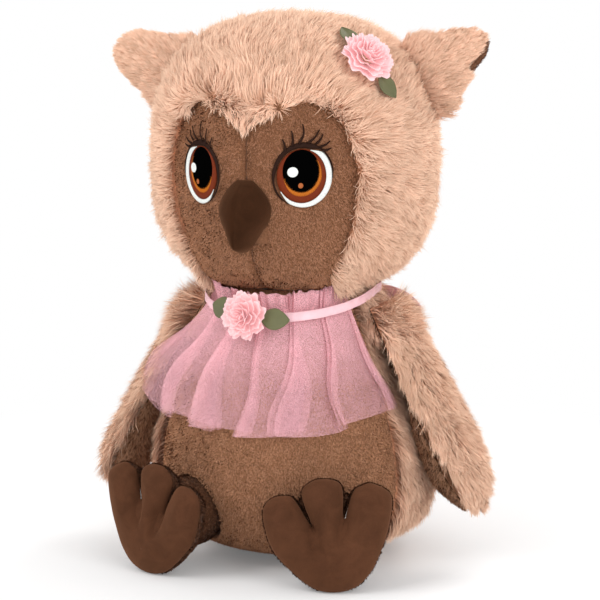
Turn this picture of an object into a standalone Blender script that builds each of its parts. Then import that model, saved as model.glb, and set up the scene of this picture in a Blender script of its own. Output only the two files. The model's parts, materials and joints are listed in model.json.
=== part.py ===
"""A sitting plush owl with a tulle cape, as separate sewn and stuffed pieces.

Run it with Blender 4.5. Lengths are metres, +Z is up, the owl faces -Y and its left is +X.
Every surface of the head and of the body is a layer set in from one skin, so fur, plush
and stuffing nest inside each other with the clearance named gap.
"""

import math

import bmesh
import bpy
import numpy as np
from mathutils import Matrix, Vector, geometry

gap = 0.0003

# Cloths: how thick each stands with its pile.
fur_thickness = 0.009
plush_thickness = 0.003
fur_stand = 0.005
satin_thickness = 0.001
tulle_thickness = 0.0009

# Body: an upright egg that sits on a flat base.
body_height = 0.153
body_half_width = 0.076
body_depth_share = 0.93
body_profile_shares = ((0, 0.4), (0.052, 0.735), (0.131, 0.91), (0.261, 1), (0.392, 0.993),
                       (0.523, 0.934), (0.654, 0.842), (0.784, 0.73), (0.915, 0.605), (1, 0.526))
body_row_shares = (0, 0.03, 0.07, 0.13, 0.21, 0.31, 0.42, 0.53, 0.64, 0.74, 0.84, 0.93, 1)
neck_round_share = 0.75
wing_press_share = 0.8
wing_press_side_share = 0.8
wing_press_side_blend_share = 0.15
wing_press_height_share = 0.5
wing_press_height_blend_share = 0.25
belly_half_angle = math.radians(67)
belly_columns = 12
back_columns = 18
bean_bag_radius = 0.026
bean_bag_height = 0.026

# Head: a round ball, squarer below its middle, cut flat at the neck.
head_half_width = 0.0805
head_half_depth = 0.077
head_half_height = 0.0773
head_cut_share = 0.923
crown_power = 2.45
jaw_power = 2.8
head_columns = 32
head_rows = 13

# Face: a heart whose outline is given as shares of the head's half width and half height.
face_outline_shares = ((0.15, 0.355), (0.36, 0.425), (0.55, 0.34), (0.66, 0.12), (0.7, -0.14),
                       (0.67, -0.5), (0.59, -0.76), (0.48, -1))
face_notch_share = 0.275
face_chin_share = -1
face_depth_share = 0.25
outline_steps = 3

# Eyes, lashes and beak, placed on the face by angle and by height from the head's middle.
eye_angle = math.radians(23.5)
eye_drop = 0.007
eye_width = 0.0325
eye_height = 0.035
stitching_thickness = 0.0008
lid_width = 0.0016
lid_start = math.radians(18)
lid_end = math.radians(158)
lash_count = 7
lash_length = 0.0085
lash_width = 0.0012
lash_sweep = 0.0022
beak_drop = 0.009
beak_length = 0.040
beak_half_width = 0.0145
beak_reach = 0.018
beak_hook_share = 0.35
beak_columns = 10
# Each station: how far down the beak, its width and its reach.
beak_station_shares = ((0, 0.35, 0.1), (0.12, 0.68, 0.5), (0.3, 0.96, 0.8), (0.45, 1, 0.96),
                       (0.62, 0.82, 1.05), (0.8, 0.52, 1.1), (0.93, 0.28, 1.06), (1, 0.1, 0.95))

# Ears: soft flaps hinged on the head along their base.
ear_length = 0.040
ear_half_width = 0.022
ear_root_radius = 0.0075
ear_root_width_share = 0.9
ear_width_shares = ((0, 1), (0.3, 0.92), (0.6, 0.78), (0.8, 0.64), (0.93, 0.42), (1, 0.12))
ear_depth_shares = ((0, 1), (0.4, 0.86), (0.8, 0.66), (0.94, 0.4), (1, 0))
ear_base_height_share = {"left": 0.54, "right": 0.53}
ear_base_angle = math.radians(97)
left_ear_rise = math.radians(28)
right_ear_rise = math.radians(31)
ear_skew_share = {"left": 0.0, "right": 0.12}
ear_offset = 0.0025

# Wings: long flaps hinged at the shoulder.
shoulder_drop = 0.020
shoulder_height = body_height - shoulder_drop
shoulder_offset = 0.0043
wing_root_radius = 0.0095
wing_length = 0.126
wing_half_width = 0.029
wing_fur_depth = 0.015
wing_lining_depth = 0.003
wing_wadding_depth = 0.004
wing_slope = math.radians(28.5)
wing_root_width_share = 0.5
wing_width_shares = ((0, 0.55), (0.15, 0.78), (0.4, 0.97), (0.58, 1), (0.72, 0.95), (0.83, 0.76),
                     (0.92, 0.47), (0.98, 0.22), (1, 0.1))
wing_fur_shares = ((0, 0.9), (0.2, 1), (0.6, 1), (0.75, 0.86), (0.92, 0.5), (0.97, 0.3), (1, 0))
wing_lining_shares = ((0, 1), (0.8, 1), (0.95, 0.5), (1, 0))
wadding_start_share = 0.08
wadding_end_share = 0.92

# Legs and feet.
hip_angle = math.radians(32.5)
hip_height = 0.030
hip_radius = 0.020
leg_cut = 0.011
foot_yaw = math.radians(21)
foot_width = 0.067
foot_depth = 0.017
sole_bulge = 0.0045
foot_outline_shares = (
    (0.06, -0.452), (0.22, -0.41), (0.34, -0.29), (0.42, -0.12), (0.475, 0.05), (0.506, 0.26),
    (0.48, 0.36), (0.35, 0.427), (0.27, 0.41), (0.2, 0.36), (0.128, 0.15), (0.12, 0.36),
    (0.08, 0.44), (-0.03, 0.463), (-0.13, 0.44), (-0.205, 0.34), (-0.12, 0.075),
    (-0.255, 0.29), (-0.33, 0.33), (-0.45, 0.3), (-0.509, 0.18), (-0.436, -0.1),
    (-0.25, -0.31), (-0.1, -0.422))
foot_middle_shares = (0.03, -0.224)
stuffing_reach_share = 0.97

# Ribbon, cape, rosettes, leaves and bow.
ribbon_drop = 0.0028
ribbon_height = body_height - ribbon_drop
ribbon_dip = 0.011
ribbon_dip_power = 1.2
ribbon_lean_share = 0.2
ribbon_half_width = 0.0025
rosette_nestle_share = 0.37
cape_header = 0.009
cape_header_clearance = 0.0035
cape_fall = 0.076
cape_hem_height = body_height - cape_fall
cape_hem_rise = 0.011
cape_half_angle = math.radians(60)
cape_right_reach = math.radians(68)
cape_left_reach = math.radians(64)
cape_folds = 12
cape_fold_columns = 6
cape_fold_depth = 0.0042
cape_side_flare = 0.011
cape_spread_share = 1.2
chest_rosette_radius = 0.0133
head_rosette_radius = 0.0148
rosette_depth = 0.013
rosette_frills = 9
rosette_frill_share = 0.05
rosette_profile_shares = ((0, 0), (0.42, 0), (0.74, 0.14), (1, 0.45), (0.92, 0.74), (0.66, 0.92),
                          (0.3, 1), (0, 0.97))
rosette_columns = 27
head_rosette_angle = math.radians(54)
head_rosette_height_share = 0.68
chest_rosette_angle = math.radians(-8)
chest_rosette_drop = 0.016
chest_rosette_height = body_height - chest_rosette_drop
leaf_length = 0.015
leaf_half_width = 0.0055
leaf_thickness = 0.0009
leaf_start_share = 0.75
leaf_shape_shares = ((0, 0.3), (0.2, 0.8), (0.5, 1), (0.8, 0.62), (1, 0.08))
bow_angle = math.radians(153)
bow_drop = 0.0085
bow_height = body_height - bow_drop
bow_half_span = 0.049
bow_half_height = 0.005
bow_thickness = 0.0024
bow_knot = 0.004
bow_knot_height_share = 0.3
bow_loop_shares = ((0.14, 0.3), (0.45, 0.85), (0.75, 1), (0.95, 0.7), (1, 0))
tail_length = 0.040
tail_half_width = 0.0025
tail_steps = 5
tail_lean = math.radians(35)

weld_distance = 0.000001
slope_step = 0.00001
cut_overrun = 0.003


def material(name, colour, roughness):
    """A plain cloth finish."""
    made = bpy.data.materials.new(name)
    made.use_nodes = True
    shader = made.node_tree.nodes["Principled BSDF"]
    shader.inputs["Base Color"].default_value = (*colour, 1)
    shader.inputs["Roughness"].default_value = roughness
    made.diffuse_color = (*colour, 1)
    return made


def cloths():
    """Every cloth of the toy."""
    return {
        "fur": material("apricot_fur", (0.62, 0.35, 0.22), 0.95),
        "plush": material("brown_plush", (0.25, 0.13, 0.08), 0.95),
        "dark_plush": material("dark_plush", (0.08, 0.035, 0.018), 0.95),
        "suede": material("suede", (0.09, 0.04, 0.024), 0.8),
        "thread": material("embroidery_thread", (0.75, 0.78, 0.75), 0.5),
        "lash_thread": material("lash_thread", (0.04, 0.015, 0.008), 0.6),
        "stuffing": material("polyester_stuffing", (0.85, 0.85, 0.83), 0.95),
        "beans": material("bean_bag_cloth", (0.7, 0.7, 0.68), 0.9),
        "tulle": material("pink_tulle", (0.8, 0.42, 0.46), 0.7),
        "satin": material("pink_satin", (0.87, 0.55, 0.6), 0.35),
        "leaf": material("olive_ribbon", (0.16, 0.17, 0.08), 0.5),
    }


def finish(name, vertices, faces, finish_material, origin=(0, 0, 0)):
    """A named object from vertices in the toy's frame, with its origin on its pivot."""
    pivot = Vector(origin)
    mesh = bpy.data.meshes.new(name)
    mesh.from_pydata([Vector(v) - pivot for v in vertices], [], faces)
    work = bmesh.new()
    work.from_mesh(mesh)
    bmesh.ops.remove_doubles(work, verts=work.verts, dist=weld_distance)
    bmesh.ops.recalc_face_normals(work, faces=work.faces)
    if work.calc_volume(signed=True) < 0:
        bmesh.ops.reverse_faces(work, faces=work.faces)
    work.to_mesh(mesh)
    work.free()
    mesh.shade_smooth()
    mesh.set_sharp_from_angle(angle=math.radians(50))
    made = bpy.data.objects.new(name, mesh)
    bpy.context.scene.collection.objects.link(made)
    made.location = pivot
    if finish_material:
        mesh.materials.append(finish_material)
    return made


def loft(rings, start_point=None, end_point=None, closed=False):
    """Vertices and faces of a stack of rings; the ends meet a point, a flat face or each other."""
    count = len(rings[0])
    vertices = [v for ring in rings for v in ring]
    pairs = list(zip(range(len(rings) - 1), range(1, len(rings))))
    if closed:
        pairs.append((len(rings) - 1, 0))
    faces = []
    for low, high in pairs:
        for i in range(count):
            j = (i + 1) % count
            faces.append((low * count + i, low * count + j, high * count + j, high * count + i))
    if not closed:
        for ring, point in ((0, start_point), (len(rings) - 1, end_point)):
            first = ring * count
            if point is None:
                faces.append(tuple(range(first, first + count)))
                continue
            vertices.append(point)
            tip = len(vertices) - 1
            faces += [(first + i, first + (i + 1) % count, tip) for i in range(count)]
    return vertices, faces


def slab(front, back):
    """Vertices and faces between two grids of points of the same size, walled round their edges."""
    rows, columns = len(front), len(front[0])
    vertices = [p for row in front for p in row] + [p for row in back for p in row]
    other = rows * columns
    faces = []
    for i in range(rows - 1):
        for j in range(columns - 1):
            a, b = i * columns + j, i * columns + j + 1
            c, d = b + columns, a + columns
            faces.append((a, b, c, d))
            faces.append((a + other, d + other, c + other, b + other))
    edge = [j for j in range(columns)]
    edge += [i * columns + columns - 1 for i in range(1, rows)]
    edge += [(rows - 1) * columns + j for j in range(columns - 2, -1, -1)]
    edge += [i * columns for i in range(rows - 2, 0, -1)]
    for a, b in zip(edge, edge[1:] + edge[:1]):
        faces.append((a, b, b + other, a + other))
    return vertices, faces


def pad(outline, middle, place, front, back, rings):
    """Vertices and faces of a pad: the outline drawn in towards its middle, with two faces.

    front and back give the height at a share of the way from the middle to the rim."""
    middle = Vector(middle)
    count = len(outline)
    vertices, faces = [], []
    for height in (front, back):
        first = len(vertices)
        for share in rings:
            for point in outline:
                at = middle.lerp(Vector(point), share)
                vertices.append(place(at.x, at.y, height(share)))
        vertices.append(place(middle.x, middle.y, height(0)))
        for k in range(len(rings) - 1):
            for i in range(count):
                j = (i + 1) % count
                a, b = first + k * count, first + (k + 1) * count
                faces.append((a + i, a + j, b + j, b + i))
        last, tip = first + (len(rings) - 1) * count, len(vertices) - 1
        faces += [(last + i, last + (i + 1) % count, tip) for i in range(count)]
    other = len(vertices) // 2
    faces += [(i, (i + 1) % count, other + (i + 1) % count, other + i) for i in range(count)]
    return vertices, faces


def plate(outline, place, low, high):
    """Vertices and faces of a flat outline of any shape with an even thickness."""
    count = len(outline)
    triangles = geometry.tessellate_polygon([[Vector((u, v, 0)) for u, v in outline]])
    vertices = [place(u, v, high) for u, v in outline] + [place(u, v, low) for u, v in outline]
    faces = [tuple(t) for t in triangles] + [tuple(i + count for i in t) for t in triangles]
    faces += [(i, (i + 1) % count, (i + 1) % count + count, i + count) for i in range(count)]
    return vertices, faces


def smooth_curve(points, steps, closed=False):
    """A Catmull-Rom curve through points, with steps stretches between neighbours."""
    points = [Vector(p) for p in points]
    count = len(points)
    made = []
    for i in range(count if closed else count - 1):
        if closed:
            a, b, c, d = (points[(i + k) % count] for k in (-1, 0, 1, 2))
        else:
            a, b = points[max(i - 1, 0)], points[i]
            c, d = points[i + 1], points[min(i + 2, count - 1)]
        for step in range(steps):
            t = step / steps
            made.append((2 * b + (c - a) * t + (2 * a - 5 * b + 4 * c - d) * t * t
                         + (3 * b - a - 3 * c + d) * t * t * t) / 2)
    if not closed:
        made.append(points[-1])
    return made


def drawn_in(outline, distance):
    """An outline moved inwards by a distance; it runs round clockwise seen from the front."""
    count = len(outline)
    made = []
    for i in range(count):
        along = (outline[(i + 1) % count] - outline[i - 1]).normalized()
        made.append(outline[i] + Vector((along.y, -along.x)) * distance)
    return made


def mix(low, high, share):
    return low + (high - low) * share


def rise(share):
    """A smooth step from 0 to 1."""
    share = min(max(share, 0), 1)
    return share * share * (3 - 2 * share)


def cut(target, cutter, operation="DIFFERENCE"):
    """A Boolean that stays on its object."""
    modifier = target.modifiers.new(cutter.name, "BOOLEAN")
    modifier.operation = operation
    modifier.solver = "EXACT"
    modifier.object = cutter


def as_cutter(made):
    made.hide_render = True
    made.display_type = "WIRE"
    return made


# The body's skin

def body_radius(height):
    """Half width of the body's skin at a height."""
    shares, radii = zip(*body_profile_shares)
    return body_half_width * float(np.interp(height / body_height, shares, radii))


def body_skin(angle, height):
    """A point of the body's skin; angle 0 is the front, and 90 degrees the owl's left."""
    round_share = rise((height / body_height - neck_round_share) / (1 - neck_round_share))
    depth = mix(body_depth_share, 1, round_share)
    radius = smooth_radius(height)
    return Vector((radius * math.sin(angle), -radius * depth * math.cos(angle), height))


def smooth_radius(height):
    """The body's half width with the profile's corners rounded off."""
    share = height / body_height
    points = body_profile_shares
    i = max(k for k in range(len(points) - 1) if points[k][0] <= max(share, 0))
    a, b = points[max(i - 1, 0)], points[i]
    c, d = points[i + 1], points[min(i + 2, len(points) - 1)]
    t = (share - b[0]) / (c[0] - b[0])
    span = c[0] - b[0]
    start = (c[1] - a[1]) / (c[0] - a[0]) * span
    end = (d[1] - b[1]) / (d[0] - b[0]) * span
    value = (b[1] * (2 * t ** 3 - 3 * t ** 2 + 1) + start * (t ** 3 - 2 * t ** 2 + t)
             + c[1] * (3 * t ** 2 - 2 * t ** 3) + end * (t ** 3 - t ** 2))
    return body_half_width * value


def body_normal(angle, height):
    inside = min(max(height, slope_step), body_height - slope_step)
    up = body_skin(angle, inside + slope_step) - body_skin(angle, inside - slope_step)
    turn = slope_step / body_half_width
    round_it = body_skin(angle + turn, inside) - body_skin(angle - turn, inside)
    return round_it.cross(up).normalized()


def body_point(angle, height, lift=0.0):
    """A point that stands a distance off the body's skin, inwards when lift is below zero."""
    return body_skin(angle, height) + body_normal(angle, height) * lift


def body_layer(angles, lift, bottom, edge):
    """Rows of points of one layer, from the base up: edge is its radius at the base."""
    rows = []
    for k, share in enumerate(body_row_shares):
        row = []
        for angle in angles:
            height = share * body_height
            point = body_point(angle, height, lift(angle, height) if callable(lift) else lift)
            if k == 0:
                point = Vector((edge * math.sin(angle),
                                -edge * body_depth_share * math.cos(angle), bottom))
            if k == len(body_row_shares) - 1:
                point.z = body_height
            row.append(point)
        rows.append(row)
    return rows


def fur_lift(angle, height):
    """How far the fur stands off the skin: nothing at the base, little where a wing lies on it."""
    high = rise((height / shoulder_height - wing_press_height_share) / wing_press_height_blend_share)
    beside = rise((abs(math.sin(angle)) - wing_press_side_share) / wing_press_side_blend_share)
    return fur_stand * rise(height / hip_height) * (1 - wing_press_share * high * beside)


def angles_between(start, end, columns):
    return [mix(start, end, i / columns) for i in range(columns + 1)]


def make_body(cloth):
    """The body's two outer panels, its base, its stuffing and its bag of beans."""
    base_radius = body_radius(0)
    seam = gap / 2 / body_half_width
    belly = angles_between(seam - belly_half_angle, belly_half_angle - seam, belly_columns)
    back = angles_between(belly_half_angle + seam, 2 * math.pi - belly_half_angle - seam, back_columns)
    skin_edge = base_radius + gap
    lining_height = plush_thickness + gap
    panels = {
        "belly_panel": (belly, 0, -plush_thickness, "plush"),
        "body_back_fur": (back, fur_lift, fur_stand - fur_thickness, "fur"),
    }
    made = {}
    for name, (angles, outer, under, finish_name) in panels.items():
        outside = body_layer(angles, outer, 0, skin_edge)
        inside = body_layer(angles, under, lining_height, skin_edge)
        made[name] = finish(name, *slab(outside, inside), cloth[finish_name])
    disc = [Vector((base_radius * math.sin(a), -base_radius * body_depth_share * math.cos(a), 0))
            for a in belly[:-1] + back[:-1]]
    above = [v + Vector((0, 0, plush_thickness)) for v in disc]
    made["base_panel"] = finish("base_panel", *loft([disc, above]), cloth["plush"])

    round_it = belly[:-1] + back[:-1]
    floor = plush_thickness + 2 * gap
    outside = body_layer(round_it, fur_stand - fur_thickness - gap, floor + gap, base_radius)
    rim = [Vector((bean_bag_radius + gap) * p for p in
                  (math.sin(a), -body_depth_share * math.cos(a), 0)) for a in round_it]
    dome = dome_rings(rim, floor + gap, bean_bag_height + 2 * gap)
    made["body_stuffing"] = finish(
        "body_stuffing",
        *loft(dome[::-1] + outside, Vector((0, 0, floor + bean_bag_height + 3 * gap))),
        cloth["stuffing"])
    bag_rim = [v * (bean_bag_radius / (bean_bag_radius + gap)) for v in rim]
    bag = dome_rings(bag_rim, floor, bean_bag_height)
    made["bean_bag"] = finish(
        "bean_bag", *loft(bag[::-1], Vector((0, 0, floor + bean_bag_height))), cloth["beans"])
    return made


def dome_rings(rim, floor, height):
    """Rings of a low dome over a rim, from the rim up, without its top point."""
    rings = []
    for turn in (0, 30, 60):
        lean = math.radians(turn)
        rings.append([Vector((v.x * math.cos(lean), v.y * math.cos(lean),
                              floor + height * math.sin(lean))) for v in rim])
    return rings


# The head's skin

def head_middle():
    """The middle of the head's ball: its flat neck lies one gap above the body's top."""
    return Vector((0, 0, body_height + gap + head_cut_share * head_half_height))


def head_power(height):
    return crown_power if height > 0 else jaw_power


def head_girth(height):
    """Share of the head's full girth at a height above its middle."""
    share = min(abs(height) / head_half_height, 1)
    power = head_power(height)
    return (1 - share ** power) ** (1 / power)


def head_normal(point):
    """Outward normal of the head's skin at a point given from its middle."""
    power = head_power(point.z)
    ring = (point.x / head_half_width) ** 2 + (point.y / head_half_depth) ** 2
    across = ring ** (power / 2 - 1) if ring > 0 else 0
    up = abs(point.z / head_half_height) ** (power - 1) / head_half_height
    return Vector((across * point.x / head_half_width ** 2, across * point.y / head_half_depth ** 2,
                   math.copysign(up, point.z))).normalized()


def head_point(angle, height, lift=0.0):
    """A point that stands off the head's skin, at an angle from the front and a height."""
    girth = head_girth(height)
    skin = Vector((head_half_width * girth * math.sin(angle),
                   -head_half_depth * girth * math.cos(angle), height))
    return head_middle() + skin + head_normal(skin) * lift


def on_head(point, lift=0.0):
    """The point of the head's skin on the line from its middle through a point, and lifted."""
    ray = (Vector(point) - head_middle()).normalized()
    power = head_power(ray.z)
    ring = (ray.x / head_half_width) ** 2 + (ray.y / head_half_depth) ** 2
    reach = (ring ** (power / 2) + abs(ray.z / head_half_height) ** power) ** (-1 / power)
    skin = ray * reach
    return head_middle() + skin + head_normal(skin) * lift


def head_heights():
    """Heights of the head's rows from the neck up to just below the crown."""
    low = -math.asin(head_cut_share)
    return [head_half_height * math.sin(mix(low, math.pi / 2, k / head_rows))
            for k in range(head_rows)]


def head_layer(angles, lift):
    """Rows of points of one layer of the head, the lowest brought down to the flat neck."""
    rows = [[head_point(a, h, lift) for a in angles] for h in head_heights()]
    for point in rows[0]:
        point.z = body_height + gap
    return rows


def face_outline():
    """The left half of the face's outline from the notch down to the chin, seen from the front."""
    points = [(0, face_notch_share)] + list(face_outline_shares) + [(0, face_chin_share)]
    lift = head_middle().z
    sized = [(x * head_half_width, lift + z * head_half_height) for x, z in points]
    return smooth_curve(sized, outline_steps)


def prism(name, outline, front, back):
    """An outline in the XZ plane drawn out along Y."""
    rings = [[Vector((p.x, y, p.y)) for p in outline] for y in (front, back)]
    return as_cutter(finish(name, *loft(rings), None))


def make_head(cloth):
    """The fur cover with its face opening, the two face panels and the stuffing."""
    round_it = angles_between(0, 2 * math.pi, head_columns)[:-1]
    crown = head_middle() + Vector((0, 0, head_half_height))
    outside = head_layer(round_it, 0)
    inside = head_layer(round_it, -fur_thickness)
    vertices, faces = loft(inside[::-1] + outside, crown - Vector((0, 0, fur_thickness)), crown)
    made = {"head_fur_shell": finish("head_fur_shell", vertices, faces, cloth["fur"])}
    core = head_layer(round_it, -fur_thickness - gap)
    made["head_stuffing"] = finish(
        "head_stuffing",
        *loft(core, None, crown - Vector((0, 0, fur_thickness + gap))), cloth["stuffing"])

    half = face_outline()
    whole = half + [Vector((-p.x, p.y)) for p in half[-2:0:-1]]
    front, back = -head_half_depth - cut_overrun, -head_half_depth * face_depth_share
    opening = prism("face_opening_cutter", whole, front, back)
    cut(made["head_fur_shell"], opening)

    step = 2 * math.pi / head_columns
    columns = head_columns // 4 - 1
    angles = angles_between(-columns * step, columns * step, 2 * columns)
    top = face_layer(angles, plush_thickness - fur_thickness)
    under = face_layer(angles, -fur_thickness)
    inner = drawn_in(whole, gap)
    for side, turn in (("left", 1), ("right", -1)):
        panel = finish(f"face_panel_{side}", *slab(top, under), cloth["plush"])
        kept = [Vector((max(turn * p.x, gap / 2) * turn, p.y)) for p in inner
                if turn * p.x > -weld_distance]
        cut(panel, prism(f"face_{side}_cutter", kept, front, back), "INTERSECT")
        made[panel.name] = panel
    return made


def face_layer(angles, lift):
    """Rows of the face's layer between the neck and the brow."""
    return head_layer(angles, lift)[:-2]


# What is sewn to the face

def on_face(angle, height, across, up, lift):
    """A point over the face at a distance across and up from a place on it."""
    turn = across / (head_half_depth * head_girth(height))
    return head_point(angle + turn, height + up, plush_thickness - fur_thickness + lift)


def make_eyes(cloth):
    """The two embroidered eyes, and the lid line with its lashes over each."""
    made = {}
    for side, turn in (("left", 1), ("right", -1)):
        def place(u, v, lift, turn=turn):
            return on_face(turn * eye_angle, -eye_drop, turn * u, v, lift)

        outline = [(eye_width / 2 * math.cos(a), eye_height / 2 * math.sin(a))
                   for a in angles_between(0, 2 * math.pi, 24)[:-1]]
        name = f"{side}_eye"
        made[name] = finish(name, *pad(
            outline, (0, 0), place, lambda share: gap + stitching_thickness,
            lambda share: gap, (1, 0.6, 0.25)), cloth["thread"])
        name = f"{side}_eyelashes"
        made[name] = finish(name, *plate(
            lash_outline(), place, gap, gap + stitching_thickness), cloth["lash_thread"])
    return made


def lash_outline():
    """The lid line as an arc, with lashes that stand on its upper edge and sweep outwards."""
    inner_across, inner_up = eye_width / 2 + gap, eye_height / 2 + gap
    outer_across, outer_up = inner_across + lid_width, inner_up + lid_width
    under = [(inner_across * math.cos(a), inner_up * math.sin(a))
             for a in angles_between(lid_start, lid_end, 12)]
    over = []
    for k in range(lash_count):
        middle = mix(lid_end, lid_start, (k + 0.5) / lash_count)
        half = lash_width / 2 / outer_across
        out = Vector((math.cos(middle), math.sin(middle)))
        side = Vector((out.y, -out.x))
        foot = Vector((outer_across * out.x, outer_up * out.y))
        length = lash_length * math.sin(math.pi * (k + 1) / (lash_count + 1)) ** 0.5
        tip = foot + out * length + side * lash_sweep
        knee = foot + out * length / 2 + side * lash_sweep / 4
        over += [(outer_across * math.cos(middle + half), outer_up * math.sin(middle + half)),
                 tuple(knee - side * lash_width / 3), tuple(tip), tuple(knee + side * lash_width / 3),
                 (outer_across * math.cos(middle - half), outer_up * math.sin(middle - half))]
    return under + over


def make_beak(cloth):
    """A stuffed beak that widens from its top and hooks down to a blunt tip."""
    front, back = [], []
    for down, width, reach in beak_station_shares:
        over, under = [], []
        hook = Vector((0, -1, 0)) * beak_reach * beak_hook_share * rise(2 * down - 1) ** 2
        for i in range(beak_columns + 1):
            across = -math.cos(math.pi * i / beak_columns)
            seat = on_face(0, -beak_drop - down * beak_length, across * width * beak_half_width, 0, gap)
            seat += hook
            under.append(seat)
            over.append(seat + Vector((0, -beak_reach * reach * math.sqrt(max(1 - across ** 2, 0)), 0)))
        front.append(over)
        back.append(under)
    return {"beak": finish("beak", *slab(front, back), cloth["suede"])}


# Soft flaps: ears and wings

def flap_grid(rows, columns, place, half_width, height):
    """Rows of points of one side of a flap; it is half_width(along) wide and height(along, t) deep."""
    return [[place(along, t * half_width(along), height(along, t)) for t in columns] for along in rows]


def along_table(table, length):
    """A smooth function along a length, through shares of it."""
    shares, values = zip(*table)
    return lambda along: float(np.interp(along / length, shares, values))


def ear_frame(side):
    """Pivot and axes of an ear: along its base, out to its tip, and out of its front."""
    turn = 1 if side == "left" else -1
    lean = left_ear_rise if side == "left" else right_ear_rise
    height = ear_base_height_share[side] * head_half_height
    lifted = head_point(turn * ear_base_angle, height, ear_offset)
    out = Vector((turn * math.cos(lean), 0, math.sin(lean)))
    base = Vector((-turn * math.sin(lean), 0, math.cos(lean)))
    return lifted, base, out, Vector((0, -1, 0))


def make_ears(cloth):
    """A fur layer in front and a plush lining behind, on a rounded root along the base."""
    made = {}
    width_table = along_table(ear_width_shares, ear_length)
    depth_table = along_table(ear_depth_shares, ear_length)
    across_shares = (-1, -0.8, -0.4, 0, 0.4, 0.8, 1)
    row_shares = (0, 0.2, 0.45, 0.68, 0.84, 0.95, 1)
    radius = ear_root_radius
    rows = [radius * math.sin(math.radians(a)) for a in (-90, -60, -25)]
    rows += [ear_length * share for share in row_shares]

    def half_width(along):
        if along > 0:
            return ear_half_width * width_table(along)
        return ear_half_width * mix(ear_root_width_share, 1, 1 + along / radius)

    def depth(along):
        return radius * depth_table(along) if along > 0 else math.sqrt(max(radius ** 2 - along ** 2, 0))

    for side in ("left", "right"):
        pivot, base, out, face = ear_frame(side)

        def place(along, sideways, height, side=side, pivot=pivot, base=base, out=out, face=face):
            drop = ear_skew_share[side] * max(along, 0)
            return pivot + out * along + base * (sideways - drop) + face * height

        def dome(t, sign, along):
            return sign * (gap / 2 + depth(along) * math.sqrt(1 - t ** 4) * (1 - gap / radius))

        for layer, sign, cloth_name in (("fur", 1, "fur"), ("lining", -1, "plush")):
            over = flap_grid(rows, across_shares, place, half_width,
                             lambda along, t, sign=sign: dome(t, sign, along))
            flat = flap_grid(rows, across_shares, place, half_width,
                             lambda along, t, sign=sign: sign * gap / 2)
            name = f"{side}_ear_{layer}"
            made[name] = finish(name, *slab(over, flat), cloth[cloth_name], pivot)
        groove = rod(f"{side}_ear_groove_cutter", pivot, base, radius + gap,
                     ear_half_width + gap * 4)
        cut(bpy.data.objects["head_fur_shell"], groove)
    return made


def rod(name, middle, along, radius, half_length, sides=32):
    """A round cutter."""
    along = along.normalized()
    across = along.orthogonal().normalized()
    third = along.cross(across)
    rings = [[middle + along * end + (across * math.cos(a) + third * math.sin(a)) * radius
              for a in angles_between(0, 2 * math.pi, sides)[:-1]] for end in (-half_length, half_length)]
    return as_cutter(finish(name, *loft(rings), None))


def wing_frame(side):
    """Pivot and axes of a wing: down its length, across to its front edge, and out of its fur."""
    turn = 1 if side == "left" else -1
    pivot = Vector((turn * (body_radius(shoulder_height) + shoulder_offset), 0, shoulder_height))
    lean = Vector((math.sin(wing_slope), 0, -math.cos(wing_slope)))
    out = Vector((math.cos(wing_slope), 0, math.sin(wing_slope)))
    return pivot, *(Vector((turn * v.x, v.y, v.z)) for v in (lean, Vector((0, -1, 0)), out))


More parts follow.
